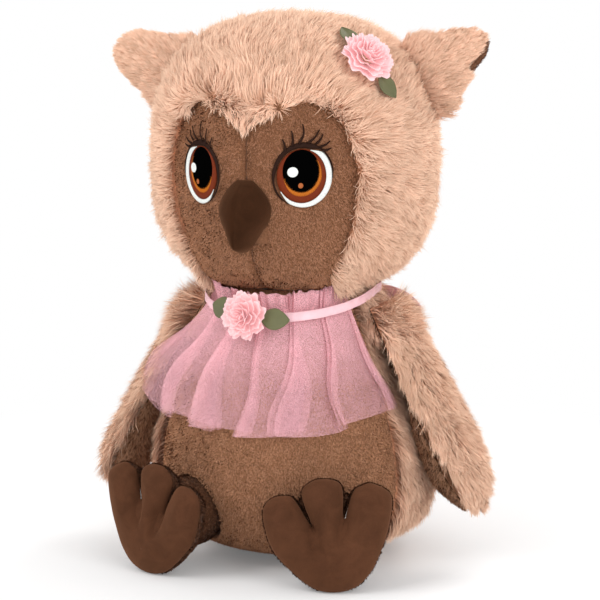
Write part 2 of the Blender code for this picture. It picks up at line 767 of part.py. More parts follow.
def make_wings(cloth):
    """Each wing is fur outside, lining inside and thin wadding between, on a round root."""
    made = {}
    radius = wing_root_radius
    width_table = along_table(wing_width_shares, wing_length)
    fur_table = along_table(wing_fur_shares, wing_length)
    lining_table = along_table(wing_lining_shares, wing_length)
    across_shares = (-1, -0.85, -0.5, 0, 0.5, 0.85, 1)
    row_shares = (0.11, 0.2, 0.34, 0.5, 0.66, 0.8, 0.91, 0.97, 1)
    inner_across_shares = (-0.8, -0.5, 0, 0.5, 0.8)
    inner_row_shares = (0.15, 0.3, 0.45, 0.6, 0.75, 0.85)
    rows = [radius * math.sin(math.radians(a)) for a in (-90, -68, -40, 0, 35, 62, 80)]
    rows += [wing_length * share for share in row_shares]
    inner_rows = [wing_length * share for share in inner_row_shares]

    def half_width(along):
        if along > 0:
            return wing_half_width * width_table(along)
        return wing_half_width * mix(wing_root_width_share, width_table(0), 1 + along / radius)

    def root(along):
        return math.sqrt(max(radius ** 2 - along ** 2, 0)) if along < radius else 0

    def fur_height(along, t):
        crown = wing_fur_depth * fur_table(along) if along > 0 else 0
        blend = rise(along / radius)
        return (mix(root(max(along, -radius)), crown, blend) - gap) * math.sqrt(1 - t ** 4) + gap

    def lining_height(along, t):
        flat = wing_lining_depth * lining_table(along) if along > 0 else 0
        return -(max(root(along) - gap, flat)) * math.sqrt(1 - t ** 4) - gap / 2

    def lens(along, t):
        share = (along / wing_length - wadding_start_share) / (wadding_end_share - wadding_start_share)
        if not 0 < share < 1:
            return 0
        return wing_wadding_depth * math.sin(math.pi * share) * (1 - t ** 2)

    for side in ("left", "right"):
        pivot, down, front, out = wing_frame(side)

        def place(along, sideways, height, pivot=pivot, down=down, front=front, out=out):
            return pivot + down * along + front * sideways + out * height

        layers = {
            "fur": (rows, across_shares, fur_height, lambda a, t: gap / 2 + lens(a, t), "fur"),
            "lining": (rows, across_shares, lambda a, t: -gap / 2, lining_height, "dark_plush"),
            "wadding": (inner_rows, inner_across_shares, lambda a, t: lens(a, t) - gap / 2,
                        lambda a, t: gap / 2, "stuffing"),
        }
        for layer, (along_rows, columns, upper, lower, cloth_name) in layers.items():
            top = flap_grid(along_rows, columns, place, half_width, upper)
            bottom = flap_grid(along_rows, columns, place, half_width, lower)
            name = f"{side}_wing_{layer}"
            made[name] = finish(name, *slab(top, bottom), cloth[cloth_name], pivot)
        pocket = rod(f"{side}_shoulder_cutter", pivot, front, radius + gap, half_width(0) + gap * 4)
        for target in ("body_back_fur", "belly_panel", "body_stuffing"):
            cut(bpy.data.objects[target], pocket)
    return made


# Legs and feet

def leg_frame(side):
    """The hip's middle on the body's skin, and the way that the leg and its sole point."""
    turn = 1 if side == "left" else -1
    hip = body_skin(turn * hip_angle, hip_height)
    return hip, Vector((turn * math.sin(foot_yaw), -math.cos(foot_yaw), 0))


def ball(middle, radius, columns=24, rows=12):
    """A ball whose facets stand no nearer than its radius, from its lowest pole up."""
    radius /= math.cos(math.pi / columns) ** 2
    rings = []
    for k in range(1, rows):
        lean = math.pi * k / rows - math.pi / 2
        rings.append([middle + radius * Vector((math.cos(lean) * math.cos(a), math.cos(lean) * math.sin(a),
                                                math.sin(lean)))
                      for a in angles_between(0, 2 * math.pi, columns)[:-1]])
    up = Vector((0, 0, radius))
    return loft(rings, middle - up, middle + up)


def make_legs(cloth):
    """A stub leg rounded into the body at the hip, and a foot of sole, upper and stuffing."""
    made = {}
    outline = [Vector(p) * foot_width for p in foot_outline_shares]
    middle = Vector(foot_middle_shares) * foot_width
    ring_shares = (1, 0.93, 0.75, 0.42)
    for side in ("left", "right"):
        turn = 1 if side == "left" else -1
        hip, ahead = leg_frame(side)
        across = Vector((0, 0, 1)).cross(ahead) * -1
        shell = foot_depth - gap
        seam = hip + ahead * (leg_cut + gap + foot_depth)

        def place(u, v, height, turn=turn, seam=seam, across=across, ahead=ahead):
            return seam - across * u * turn + Vector((0, 0, v)) + ahead * height

        def dome(share):
            return math.sqrt(max(1 - share ** 3, 0))

        layers = {
            "foot_sole": (lambda s: gap / 2 + sole_bulge * dome(s),
                          lambda s: gap / 2 + (sole_bulge - plush_thickness) * dome(s), "suede"),
            "foot_upper": (lambda s: -gap / 2 - (foot_depth - plush_thickness) * dome(s),
                           lambda s: -gap / 2 - shell * dome(s), "dark_plush"),
            "foot_stuffing": (lambda s: (sole_bulge - plush_thickness) * dome(s) - gap / 2,
                              lambda s: -(foot_depth - plush_thickness - gap) * dome(s), "stuffing"),
        }
        for layer, (front, back, cloth_name) in layers.items():
            inside = layer == "foot_stuffing"
            shape = [middle.lerp(p, stuffing_reach_share) for p in outline] if inside else outline
            name = f"{side}_{layer}"
            shares = ring_shares[1:] if inside else ring_shares
            made[name] = finish(name, *pad(shape, middle, place, front, back, shares),
                                cloth[cloth_name], hip)
        side_way = ahead.cross(Vector((0, 0, 1)))
        stub = []
        for lean in (-75, -55, -30, 0, math.degrees(math.asin(leg_cut / hip_radius))):
            girth = hip_radius * math.cos(math.radians(lean))
            at = hip + ahead * hip_radius * math.sin(math.radians(lean))
            stub.append([at + (side_way * math.cos(a) + Vector((0, 0, math.sin(a)))) * girth
                         for a in angles_between(0, 2 * math.pi, 24)[:-1]])
        name = f"{side}_leg"
        made[name] = finish(name, *loft(stub, hip - ahead * hip_radius), cloth["dark_plush"], hip)
        socket = as_cutter(finish(f"{side}_hip_cutter", *ball(hip, hip_radius + gap), None))
        for target in ("belly_panel", "body_stuffing", "body_back_fur"):
            cut(bpy.data.objects[target], socket)
    return made


# Ribbon, cape, rosettes and bow

def ribbon_middle(angle):
    """Height of the neck ribbon: it dips in front."""
    return ribbon_height - ribbon_dip * max(math.cos(angle), 0) ** ribbon_dip_power


def ribbon_lift():
    """The ribbon lies just over the fur, and over the cape's gathers in front."""
    return fur_stand + 2 * gap


def trim_lift():
    """What is sewn over the ribbon clears it where the body leans away from it."""
    return ribbon_lift() + satin_thickness + ribbon_half_width


def make_ribbon(cloth):
    """The ribbon round the neck, upright, as wide as its lower edge needs."""
    sections = []
    for angle in angles_between(0, 2 * math.pi, 40)[:-1]:
        middle = ribbon_middle(angle)
        low, high = middle - ribbon_half_width, min(middle + ribbon_half_width, body_height - gap)
        section = []
        for lift, heights in ((ribbon_lift(), (low, high)),
                              (ribbon_lift() + satin_thickness, (high, low))):
            edge = body_point(angle, low - lift * ribbon_lean_share, lift)
            section += [Vector((edge.x, edge.y, height)) for height in heights]
        sections.append(section)
    return {"neck_ribbon": finish("neck_ribbon", *loft(sections, closed=True), cloth["satin"])}


def cape_rows():
    """Where the cape's rows run: their height from the ribbon's middle, and how far they spread."""
    edge = ribbon_half_width + gap
    half_open_share, fall_shares = 0.6, (0.22, 0.5, 0.76, 1)
    rows = [(cape_header, 0, 1), ((cape_header + edge) / 2, 0, half_open_share), (edge, 0, 0), (-edge, 0, 0)]
    return rows + [(0, fall, 0) for fall in fall_shares]


def make_cape(cloth):
    """Tulle gathered under the ribbon: a short ruffled header above it and a folded fall below."""
    columns = cape_folds * cape_fold_columns
    room = ribbon_lift() - 6 * gap - tulle_thickness
    ceiling = body_height - cape_header_clearance
    front, back = [], []
    for above, fall, header in cape_rows():
        outer, inner = [], []
        for i in range(columns + 1):
            share = i / columns
            spread = rise(fall * cape_spread_share)
            angle = mix(-mix(cape_half_angle, cape_right_reach, spread),
                        mix(cape_half_angle, cape_left_reach, spread), share)
            hem = cape_hem_height + cape_hem_rise * (angle / cape_right_reach) ** 2
            height = min(mix(ribbon_middle(angle) + above, hem, fall), ceiling - (1 - header) * gap)
            wave = 0.5 - 0.5 * math.cos(2 * math.pi * cape_folds * share)
            depth = mix(room, cape_fold_depth, max(spread, header / 2))
            side = rise((-angle - cape_half_angle / 3) / cape_half_angle)
            lift = gap * 2 + depth * wave + cape_side_flare * side * spread
            inner.append(body_point(angle, height, lift))
            outer.append(body_point(angle, height, lift + tulle_thickness))
        front.append(outer)
        back.append(inner)
    return {"tulle_cape": finish("tulle_cape", *slab(front, back), cloth["tulle"])}


def rosette(name, seat, out, rosette_radius, finish_material):
    """A ruffled ribbon flower: a turned dome whose rim waves."""
    across = out.orthogonal().normalized()
    third = out.cross(across)
    rings = []
    for radius_share, depth_share in rosette_profile_shares[1:-1]:
        ring = []
        for a in angles_between(0, 2 * math.pi, rosette_columns)[:-1]:
            wave = 1 + rosette_frill_share * radius_share * math.cos(rosette_frills * a)
            radius = rosette_radius * radius_share * wave
            ring.append(seat + (across * math.cos(a) + third * math.sin(a)) * radius
                        + out * rosette_depth * depth_share)
        rings.append(ring)
    tip = seat + out * rosette_depth * rosette_profile_shares[-1][1]
    return finish(name, *loft(rings, seat, tip), finish_material)


def leaf_outline(direction, rosette_radius):
    """A pointed leaf that starts clear under a rosette and runs out in a direction."""
    way = Vector((math.cos(direction), math.sin(direction)))
    side = Vector((-way.y, way.x))
    start = rosette_radius * leaf_start_share
    right, left = ([way * (start + leaf_length * along) + side * leaf_half_width * wide * turn
                    for along, wide in leaf_shape_shares] for turn in (1, -1))
    return right + left[::-1], way * (start + leaf_length / 2)


def make_flowers(cloth):
    """The two rosettes with a pair of ribbon leaves each."""
    made = {}
    height = head_rosette_height_share * head_half_height
    seat = head_point(head_rosette_angle, height, gap)
    out = (head_point(head_rosette_angle, height, rosette_depth) - seat).normalized()
    made["head_rosette"] = rosette("head_rosette", seat, out, head_rosette_radius, cloth["satin"])
    level = Vector((0, 0, 1)).cross(out).normalized()
    up = out.cross(level)

    def on_crown(u, v, lift):
        return on_head(seat + level * u + up * v, lift)

    def on_chest(u, v, lift):
        turn = u / (body_radius(chest_rosette_height) + trim_lift())
        return body_point(chest_rosette_angle + turn, chest_rosette_height + v, trim_lift() + lift)

    chest_seat = on_chest(0, 0, gap - ribbon_half_width * rosette_nestle_share)
    ahead = (body_skin(chest_rosette_angle, chest_rosette_height) * Vector((1, 1, 0))).normalized()
    tilt = (ahead + body_normal(chest_rosette_angle, chest_rosette_height)).normalized()
    made["chest_rosette"] = rosette("chest_rosette", chest_seat, tilt, chest_rosette_radius, cloth["satin"])
    leaves = {
        "head_leaf_upper": (on_crown, math.radians(95), head_rosette_radius),
        "head_leaf_lower": (on_crown, math.radians(-60), head_rosette_radius),
        "chest_leaf_right": (on_chest, math.radians(172), chest_rosette_radius),
        "chest_leaf_left": (on_chest, math.radians(-4), chest_rosette_radius),
    }
    for name, (place, direction, radius) in leaves.items():
        outline, middle = leaf_outline(direction, radius)
        made[name] = finish(name, *pad(outline, middle, place, lambda share: gap + leaf_thickness,
                                       lambda share: gap, (1, 0.5)), cloth["leaf"])
    return made


def make_bow(cloth):
    """The ribbon's bow behind the left shoulder: two flat loops, a knot round them and two tails."""
    skin = body_skin(bow_angle, bow_height)
    way = Vector((skin.x, skin.y, 0)).normalized()
    seat = skin + way * (ribbon_lift() + satin_thickness + gap + bow_knot / 2)
    span = Vector((-math.cos(bow_angle), -math.sin(bow_angle), 0)).normalized()
    up = Vector((0, 0, 1))

    def place(u, v, lift):
        return seat + span * u + up * v + way * lift

    right = [Vector((u * bow_half_span, v * bow_half_height)) for u, v in bow_loop_shares]
    quarter = right + [Vector((p.x, -p.y)) for p in right[-2::-1]]
    outline = quarter + [Vector((-p.x, -p.y)) for p in quarter]
    half = bow_thickness / 2

    def over_fur(u, v, lift):
        turn = u / (body_radius(bow_height) + ribbon_lift())
        return body_point(bow_angle - turn, bow_height + v, ribbon_lift() + satin_thickness + lift)

    made = {"ribbon_bow_loops": finish("ribbon_bow_loops", *pad(
        outline, (0, 0), place, lambda share: half, lambda share: -half, (1, 0.5)), cloth["satin"])}
    hole = [(s * bow_half_height * bow_knot_height_share + s * gap, half + gap) for s in (-1, 1)]
    inside = [(hole[0][0], -hole[0][1]), (hole[1][0], -hole[1][1]), (hole[1][0], hole[1][1]),
              (hole[0][0], hole[0][1])]
    sections = []
    for end in (-bow_knot / 2, bow_knot / 2):
        sections.append([place(end, v, lift) for v, lift in inside])
        sections.append([place(end, v + math.copysign(satin_thickness / 2, v),
                               lift + math.copysign(satin_thickness / 2, lift)) for v, lift in inside])
    order = [sections[0], sections[1], sections[3], sections[2]]
    made["ribbon_bow_knot"] = finish("ribbon_bow_knot", *loft(order, closed=True), cloth["satin"])
    drop = -bow_half_height - tail_half_width - 3 * gap
    front, back = [], []
    for k in range(-tail_steps, tail_steps + 1):
        along = tail_length * k / tail_steps
        middle = Vector((along * math.sin(tail_lean), drop - abs(along) * math.cos(tail_lean)))
        side = Vector((math.cos(tail_lean) * ((k > 0) - (k < 0)), 1 if k == 0 else math.sin(tail_lean)))
        ends = [middle + side * tail_half_width * turn for turn in (-1, 1)]
        front.append([over_fur(p.x, p.y, gap + satin_thickness) for p in ends])
        back.append([over_fur(p.x, p.y, gap) for p in ends])
    made["ribbon_tails"] = finish("ribbon_tails", *slab(front, back), cloth["satin"])
    return made


def centre_on_footprint(pieces):
    """Moves the toy along Y so that its origin is under the middle of its box."""
    bpy.context.view_layer.update()
    graph = bpy.context.evaluated_depsgraph_get()
    reach = []
    for piece in pieces:
        mesh = piece.evaluated_get(graph).to_mesh()
        reach += [(piece.matrix_world @ v.co).y for v in mesh.vertices]
    stand = bpy.data.objects.new("owl", None)
    bpy.context.scene.collection.objects.link(stand)
    for thing in list(bpy.context.scene.objects):
        if thing is not stand:
            thing.parent = stand
    stand.location.y = -(min(reach) + max(reach)) / 2


def build():
    for thing in list(bpy.data.objects):
        bpy.data.objects.remove(thing, do_unlink=True)
    cloth = cloths()
    pieces = {}
    for make in (make_body, make_head, make_eyes, make_beak, make_ears, make_wings, make_legs,
                 make_ribbon, make_cape, make_flowers, make_bow):
        pieces.update(make(cloth))
    centre_on_footprint(pieces.values())


build()
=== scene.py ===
"""The look of a sitting plush owl: pile, suede, embroidery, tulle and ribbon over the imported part.

Laid out as a Blender add-on and run as a script. Lengths are metres in the part's own frame:
+Z is up, the owl faces -Y and its left is +X. A lift is a distance off a skin, outwards.
"""

import math

import json

import bmesh
import bpy
import numpy as np
from bpy.props import FloatProperty, FloatVectorProperty, IntProperty, PointerProperty
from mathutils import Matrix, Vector
from mathutils.kdtree import KDTree


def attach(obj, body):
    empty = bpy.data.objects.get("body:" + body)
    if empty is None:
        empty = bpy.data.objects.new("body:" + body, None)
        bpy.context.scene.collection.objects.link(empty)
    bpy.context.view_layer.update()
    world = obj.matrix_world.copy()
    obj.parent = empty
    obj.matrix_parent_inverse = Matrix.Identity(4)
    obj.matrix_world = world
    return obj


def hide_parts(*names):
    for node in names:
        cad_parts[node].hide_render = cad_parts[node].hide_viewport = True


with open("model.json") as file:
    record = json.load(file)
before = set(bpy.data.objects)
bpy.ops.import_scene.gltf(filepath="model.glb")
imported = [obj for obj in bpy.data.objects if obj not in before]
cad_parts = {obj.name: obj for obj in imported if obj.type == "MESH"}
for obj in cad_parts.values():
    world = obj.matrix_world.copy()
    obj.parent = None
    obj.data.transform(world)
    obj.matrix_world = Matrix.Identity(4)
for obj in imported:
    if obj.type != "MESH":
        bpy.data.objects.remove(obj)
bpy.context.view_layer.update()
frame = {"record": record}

bl_info = {
    "name": "Plush owl",
    "version": (1, 0, 0),
    "blender": (4, 5, 0),
    "location": "3D View > Sidebar > Owl",
    "description": "Dresses the plush owl's solids in fur, plush, suede, tulle and ribbon",
    "category": "Object",
}

# The part's own sizes: its head pivot from the frame, the others as its source gives them.
PIVOT = frame["record"]["behaviour"]["joints"][0]["pos_m"]
FORWARD = PIVOT[1]
GAP = 0.0003
FUR, PLUSH, FUR_STAND = 0.009, 0.003, 0.005
BODY_HEIGHT, BODY_HALF_WIDTH, BODY_DEPTH_SHARE, NECK_ROUND_SHARE = 0.153, 0.076, 0.93, 0.75
BODY_PROFILE = ((0, 0.4), (0.052, 0.735), (0.131, 0.91), (0.261, 1), (0.392, 0.993), (0.523, 0.934),
                (0.654, 0.842), (0.784, 0.73), (0.915, 0.605), (1, 0.526))
BELLY_ANGLE = math.radians(67)
HEAD_SIZE = (0.0805, 0.077, 0.0773)
HEAD_CUT_SHARE, CROWN_POWER, JAW_POWER = 0.923, 2.45, 2.8
HEAD_MIDDLE = np.array((0, FORWARD, BODY_HEIGHT + GAP + HEAD_CUT_SHARE * HEAD_SIZE[2]))
FACE_OUTLINE = ((0, 0.275), (0.15, 0.355), (0.36, 0.425), (0.55, 0.34), (0.66, 0.12), (0.7, -0.14),
                (0.67, -0.5), (0.59, -0.76), (0.48, -1))
CHEEK_FUR = 0.2
HEAD_BOTTOM = -1.35
EYE_ANGLE, EYE_DROP, EYE_WIDTH, EYE_HEIGHT = math.radians(23.5), 0.007, 0.0325, 0.035
BEAK_DROP, BEAK_LENGTH, BEAK_HALF_WIDTH, BEAK_REACH = 0.009, 0.040, 0.0145, 0.018
EAR_LENGTH, EAR_HALF_WIDTH, EAR_ROOT, EAR_ANGLE, EAR_OFFSET = 0.040, 0.022, 0.0075, math.radians(97), 0.0025
EARS = {"left": (1, 0.54, math.radians(28), 0), "right": (-1, 0.53, math.radians(31), 0.12)}
SHOULDER, SHOULDER_OFFSET, WING_ROOT = 0.133, 0.0043, 0.0095
WING_LENGTH, WING_HALF_WIDTH, WING_SLOPE = 0.126, 0.029, math.radians(28.5)
HIP_ANGLE, HIP_HEIGHT, HIP_RADIUS, LEG_CUT = math.radians(32.5), 0.030, 0.020, 0.011
FOOT_YAW, FOOT_WIDTH, FOOT_DEPTH, SOLE_BULGE = math.radians(21), 0.067, 0.017, 0.0045
FOOT_OUTLINE = ((0.06, -0.452), (0.22, -0.41), (0.34, -0.29), (0.42, -0.12), (0.475, 0.05), (0.506, 0.26),
                (0.48, 0.36), (0.35, 0.427), (0.27, 0.41), (0.2, 0.36), (0.128, 0.15), (0.12, 0.36),
                (0.08, 0.44), (-0.03, 0.463), (-0.13, 0.44), (-0.205, 0.34), (-0.12, 0.075),
                (-0.255, 0.29), (-0.33, 0.33), (-0.45, 0.3), (-0.509, 0.18), (-0.436, -0.1),
                (-0.25, -0.31), (-0.1, -0.422))
FOOT_MIDDLE = (0.03, -0.224)
FOOT_NOTCHES = ((0.128, 0.15), (-0.12, 0.075))
RIBBON_HEIGHT, RIBBON_DIP, RIBBON_HALF_WIDTH = 0.1502, 0.011, 0.0025
CAPE_HEADER, CAPE_HEM, CAPE_HEM_RISE = 0.009, 0.077, 0.011
CAPE_ANGLE, CAPE_RIGHT, CAPE_LEFT = math.radians(60), math.radians(68), math.radians(64)
CAPE_FOLDS, CAPE_DEPTH, CAPE_FLARE = 6, 0.0042, 0.014
CHEST_ROSETTE, HEAD_ROSETTE, ROSETTE_DEPTH = 0.0133, 0.0148, 0.013
HEAD_ROSETTE_ANGLE, HEAD_ROSETTE_SHARE = math.radians(54), 0.68
CHEST_ROSETTE_ANGLE, CHEST_ROSETTE_HEIGHT = math.radians(-8), 0.137
LEAF_LENGTH, LEAF_HALF_WIDTH = 0.015, 0.0055
BOW_ANGLE, BOW_HEIGHT, BOW_HALF_SPAN, BOW_HALF_HEIGHT = math.radians(153), 0.1445, 0.049, 0.005
TAIL_LENGTH = 0.040
UP = np.array((0.0, 0, 1))
FRONT = np.array((0.0, -1, 0))
SIDES = (("left", 1), ("right", -1))

# How the cloths lie on the solids: depths of their grounds under a solid's skin, and room round sockets.
FUR_GROUND, BELLY_GROUND, COVER_THICKNESS = 0.0062, 0.0016, 0.0012
WING_SOCKET, SOCKET_HALF_WIDTH, HIP_SOCKET = WING_ROOT + 0.0006, WING_HALF_WIDTH * 0.58, HIP_RADIUS + 0.0006
FACE_PROUD, FACE_FALL, CHIN_PROUD = 0.0042, 0.007, 0.0023
SOLE_PUFF = SOLE_BULGE * 2.1
CAPE_DROP, HEADER_SHARE = 0.075, 0.2
RIBBON_LIFT = FUR_STAND + 2 * GAP
RIBBON_THICKNESS, FLOWER_RIBBON_THICKNESS, BOW_RIBBON_HALF_WIDTH = 0.0003, 0.0002, 0.0024

# How tufts of short pile gather, lean astray and differ in tone, for pile().
SHORT_TUFTS = {"clump": 0.0011, "pull": 0.35, "steps": 2, "wild": 0.4}
LINING_TUFTS = {"clump": 0.0014, "pull": 0.4, "steps": 2, "wild": 0.4, "grain": 0.2}
FOOT_TUFTS = {"clump": 0.0016, "steps": 2, "wild": 0.4}

# Triangles in the largest piece of pile, and steps of tone across its texture.
LARGEST_PILE, PILE_TONES = 185000, 40

# The stage: each lamp's name, place, width and power, and the camera of the photograph.
LAMPS = (("key", (-0.75, -1.0, 1.05), 0.8, 9.5), ("fill", (1.1, -0.9, 0.6), 0.9, 9.0),
         ("back", (0.5, 1.1, 0.9), 0.8, 8.0))
LAMP_AIM = Vector((0, 0, 0.15))
CAMERA_PLACE, CAMERA_AIM, CAMERA_LENS = (0.405, -1.0728, 0.3206), Vector((0.0049, 0.0054, 0.1421)), 124.5
CAMERA_NEAR, CAMERA_FAR = 0.05, 20
FLOOR_WIDTH, FLOOR_HEIGHT, SKY_STRENGTH = 6, -0.0003, 0.8


def paint(red, green, blue):
    """A colour given in screen values, as Blender keeps it."""
    shares = (value / 255 for value in (red, green, blue))
    return tuple(v / 12.92 if v <= 10 / 255 else ((v + 0.055) / 1.055) ** 2.4 for v in shares)


def length_setting(name, description, default):
    return FloatProperty(name=name, description=description, default=default, min=0, unit="LENGTH")


def colour_setting(name, description, default):
    return FloatVectorProperty(name=name, description=description, default=paint(*default), size=3,
                               subtype="COLOR", min=0, max=1)


class OwlSizes(bpy.types.PropertyGroup):
    """Sizes of the cloths' surfaces."""
    fur_length: length_setting("Fur length", "Length of the long pile on head, back, wings and ears", 0.0125)
    fur_width: length_setting("Fur strand width", "Width of one strand of long pile at its root", 0.00037)
    fur_density: FloatProperty(name="Fur density", description="Strands of long pile on a square millimetre",
                               default=3.5, min=0.1)
    plush_length: length_setting("Plush length", "Length of the short pile on face, belly and legs", 0.0017)
    plush_width: length_setting("Plush strand width", "Width of one tuft of short pile", 0.00038)
    plush_density: FloatProperty(name="Plush density", default=4.2, min=0.1,
                                 description="Tufts of short pile on a square millimetre")
    thread: length_setting("Thread", "Width of one embroidery thread", 0.00045)
    tulle_folds: IntProperty(name="Tulle folds", description="Folds that the cape's tulle falls in",
                             default=CAPE_FOLDS, min=4)
    tulle_cover: FloatProperty(name="Tulle cover", description="How much one layer of tulle hides",
                               default=0.3, min=0, max=1, subtype="FACTOR")


class OwlColours(bpy.types.PropertyGroup):
    """Colours of the cloths."""
    fur_tip: colour_setting("Fur tips", "Colour of the long pile at its tips", (246, 211, 185))
    # The roots' colour is partly the fur's own and partly painted shade deep in the pile.
    fur_root: colour_setting("Fur roots", "Colour of the long pile at its roots", (219, 152, 115))
    face: colour_setting("Face plush", "Colour of the short pile on the face", (180, 124, 90))
    belly: colour_setting("Belly plush", "Colour of the short pile on the belly", (196, 140, 104))
    dark: colour_setting("Dark plush", "Colour of the legs, the feet's uppers and the linings", (126, 82, 56))
    suede: colour_setting("Suede", "Colour of the soles", (80, 50, 34))
    beak: colour_setting("Beak suede", "Colour of the beak", (51, 29, 16))
    tulle: colour_setting("Tulle", "Colour of the cape's net", (248, 188, 196))
    satin: colour_setting("Satin", "Colour of the ribbon and the bow", (247, 198, 205))
    rose: colour_setting("Rosettes", "Colour of the rosettes' ribbon", (255, 206, 208))
    leaf: colour_setting("Leaf ribbon", "Colour of the rosettes' leaves", (98, 98, 62))
    white: colour_setting("White thread", "Colour of the eyes' whites and highlights", (226, 229, 225))
    iris: colour_setting("Iris thread", "Colour of the irises", (112, 42, 14))
    amber: colour_setting("Amber thread", "Colour of the ring in the irises", (188, 104, 26))
    lid: colour_setting("Lid thread", "Colour of the lids and lashes", (40, 19, 9))


# Numbers and shapes

def rise(share):
    """A smooth step from 0 to 1."""
    share = np.clip(share, 0, 1)
    return share * share * (3 - 2 * share)


def mix(low, high, share):
    """What lies between two values, at a share of the way."""
    return low + (high - low) * share


def unit(vectors):
    """Vectors brought to length 1."""
    return vectors / np.maximum(np.linalg.norm(vectors, axis=-1, keepdims=True), 1e-12)


def vec(x, y, z):
    """Points from their three coordinates, each a number or an array."""
    return np.stack(np.broadcast_arrays(x, y, z), axis=-1).astype(float)


def turned(normals, wish):
    """The part of a direction that lies in the surface."""
    return unit(wish - normals * (normals * wish).sum(-1, keepdims=True))


def through(table):
    """A smooth function through a table of places and values."""
    x, y = np.array(table, float).T
    slope = np.concatenate(([(y[1] - y[0]) / (x[1] - x[0])], (y[2:] - y[:-2]) / (x[2:] - x[:-2]),
                            [(y[-1] - y[-2]) / (x[-1] - x[-2])]))

    def at(place):
        place = np.clip(place, x[0], x[-1])
        i = np.clip(np.searchsorted(x, place, side="right") - 1, 0, len(x) - 2)
        span = x[i + 1] - x[i]
        t = (place - x[i]) / span
        return (y[i] * (2 * t ** 3 - 3 * t ** 2 + 1) + slope[i] * span * (t ** 3 - 2 * t ** 2 + t)
                + y[i + 1] * (3 * t ** 2 - 2 * t ** 3) + slope[i + 1] * span * (t ** 3 - t ** 2))
    return at


def curve(points, steps, closed=False):
    """A smooth curve through points, as an array of points."""
    points = np.array(points, float)
    count = len(points)
    made = []
    for i in range(count if closed else count - 1):
        near = [(i + k) % count if closed else min(max(i + k, 0), count - 1) for k in (-1, 0, 1, 2)]
        a, b, c, d = points[near]
        for t in np.arange(steps) / steps:
            made.append((2 * b + (c - a) * t + (2 * a - 5 * b + 4 * c - d) * t * t
                         + (3 * b - a - 3 * c + d) * t ** 3) / 2)
    return np.array(made if closed else made + [points[-1]])


def lumps(points, size, seed, octaves=3, waves=5):
    """A soft random field over points, about -1 to 1, with lumps of a size."""
    rng = np.random.default_rng(seed)
    total = np.zeros(points.shape[:-1])
    for k in range(octaves):
        finer, weaker = 1.9 ** k, 1.7 ** k
        for _ in range(waves):
            way = unit(rng.normal(size=3))
            total += np.sin(points @ way * (2 * math.pi / size * finer) + rng.uniform(0, 6.3)) / weaker
    return total / waves


def swirls(points, size, seeds, share):
    """Soft random directions over points, from one field for each coordinate."""
    return vec(*(lumps(points, size, seed, 2) * share for seed in seeds))


def all_round(count):
    """A row of angles once round."""
    return np.linspace(0, 2 * math.pi, count, endpoint=False)[None]


def edge_distance(x, z, outline):
    """Distance of points to a closed outline, above zero inside it."""
    start, end = outline, np.roll(outline, -1, axis=0)
    best = np.full(np.shape(x), 1e9)
    inside = np.zeros(np.shape(x), bool)
    for (ax, az), (bx, bz) in zip(start, end):
        dx, dz = bx - ax, bz - az
        t = np.clip(((x - ax) * dx + (z - az) * dz) / max(dx * dx + dz * dz, 1e-18), 0, 1)
        best = np.minimum(best, np.hypot(x - ax - t * dx, z - az - t * dz))
        crosses = (az > z) != (bz > z)
        inside ^= crosses & (x < ax + (z - az) / (dz if abs(dz) > 1e-12 else 1e-12) * dx)
    return np.where(inside, best, -best)


# The part's skins

body_share = through(BODY_PROFILE)


def body_skin(angle, height):
    """Points of the body's skin at angles round it, from the front towards its left, and heights."""
    radius = BODY_HALF_WIDTH * body_share(height / BODY_HEIGHT)
    depth = mix(BODY_DEPTH_SHARE, 1, rise((height / BODY_HEIGHT - NECK_ROUND_SHARE) / (1 - NECK_ROUND_SHARE)))
    return vec(radius * np.sin(angle), FORWARD - radius * depth * np.cos(angle), height)


def body_radius(height):
    """The body's half width at one height, read off its profile in straight steps."""
    return BODY_HALF_WIDTH * float(np.interp(height / BODY_HEIGHT, *zip(*BODY_PROFILE)))


def body_normal(angle, height, rim=1e-4, turn=1e-4, climb=1e-5):
    """Outward normal of the body's skin, from small steps across and up it."""
    inside = np.clip(height, rim, BODY_HEIGHT - rim)
    up = body_skin(angle, inside + climb) - body_skin(angle, inside - climb)
    across = body_skin(angle + turn, inside) - body_skin(angle - turn, inside)
    return unit(np.cross(across, up))


def body_point(angle, height, lift=0.0):
    """Points lifted off the body's skin."""
    return body_skin(angle, height) + body_normal(angle, height) * np.asarray(lift)[..., None]


def fur_lift(angle, height):
    """How far the back's fur stands off the skin: nothing at the base, little under a wing."""
    under = rise(4 * height / SHOULDER - 2) * rise((np.abs(np.sin(angle)) - 0.8) / 0.15)
    return FUR_STAND * rise(height / HIP_HEIGHT) * (1 - 0.8 * under)


def head_power(height):
    """How full the head's curve is, above its middle and below it."""
    return np.where(height > 0, CROWN_POWER, JAW_POWER)


def head_girth(height):
    """The head's girth at heights from its middle, as a share of its widest."""
    power = head_power(height)
    return (1 - np.clip(np.abs(height) / HEAD_SIZE[2], 0, 1) ** power) ** (1 / power)


def head_normal(skin):
    """Outward normal of the head's skin at points given from its middle."""
    power = head_power(skin[..., 2])
    wide, deep, high = HEAD_SIZE
    ring = np.maximum((skin[..., 0] / wide) ** 2 + (skin[..., 1] / deep) ** 2, 1e-12)
    across = ring ** (power / 2 - 1)
    up = np.sign(skin[..., 2]) * np.abs(skin[..., 2] / high) ** (power - 1) / high
    return unit(vec(across * skin[..., 0] / wide ** 2, across * skin[..., 1] / deep ** 2, up))


def head_point(angle, height, lift=0.0):
    """Points lifted off the head's skin at angles round it and heights from its middle."""
    girth = head_girth(height)
    skin = vec(HEAD_SIZE[0] * girth * np.sin(angle), -HEAD_SIZE[1] * girth * np.cos(angle), height)
    return HEAD_MIDDLE + skin + head_normal(skin) * np.asarray(lift)[..., None]


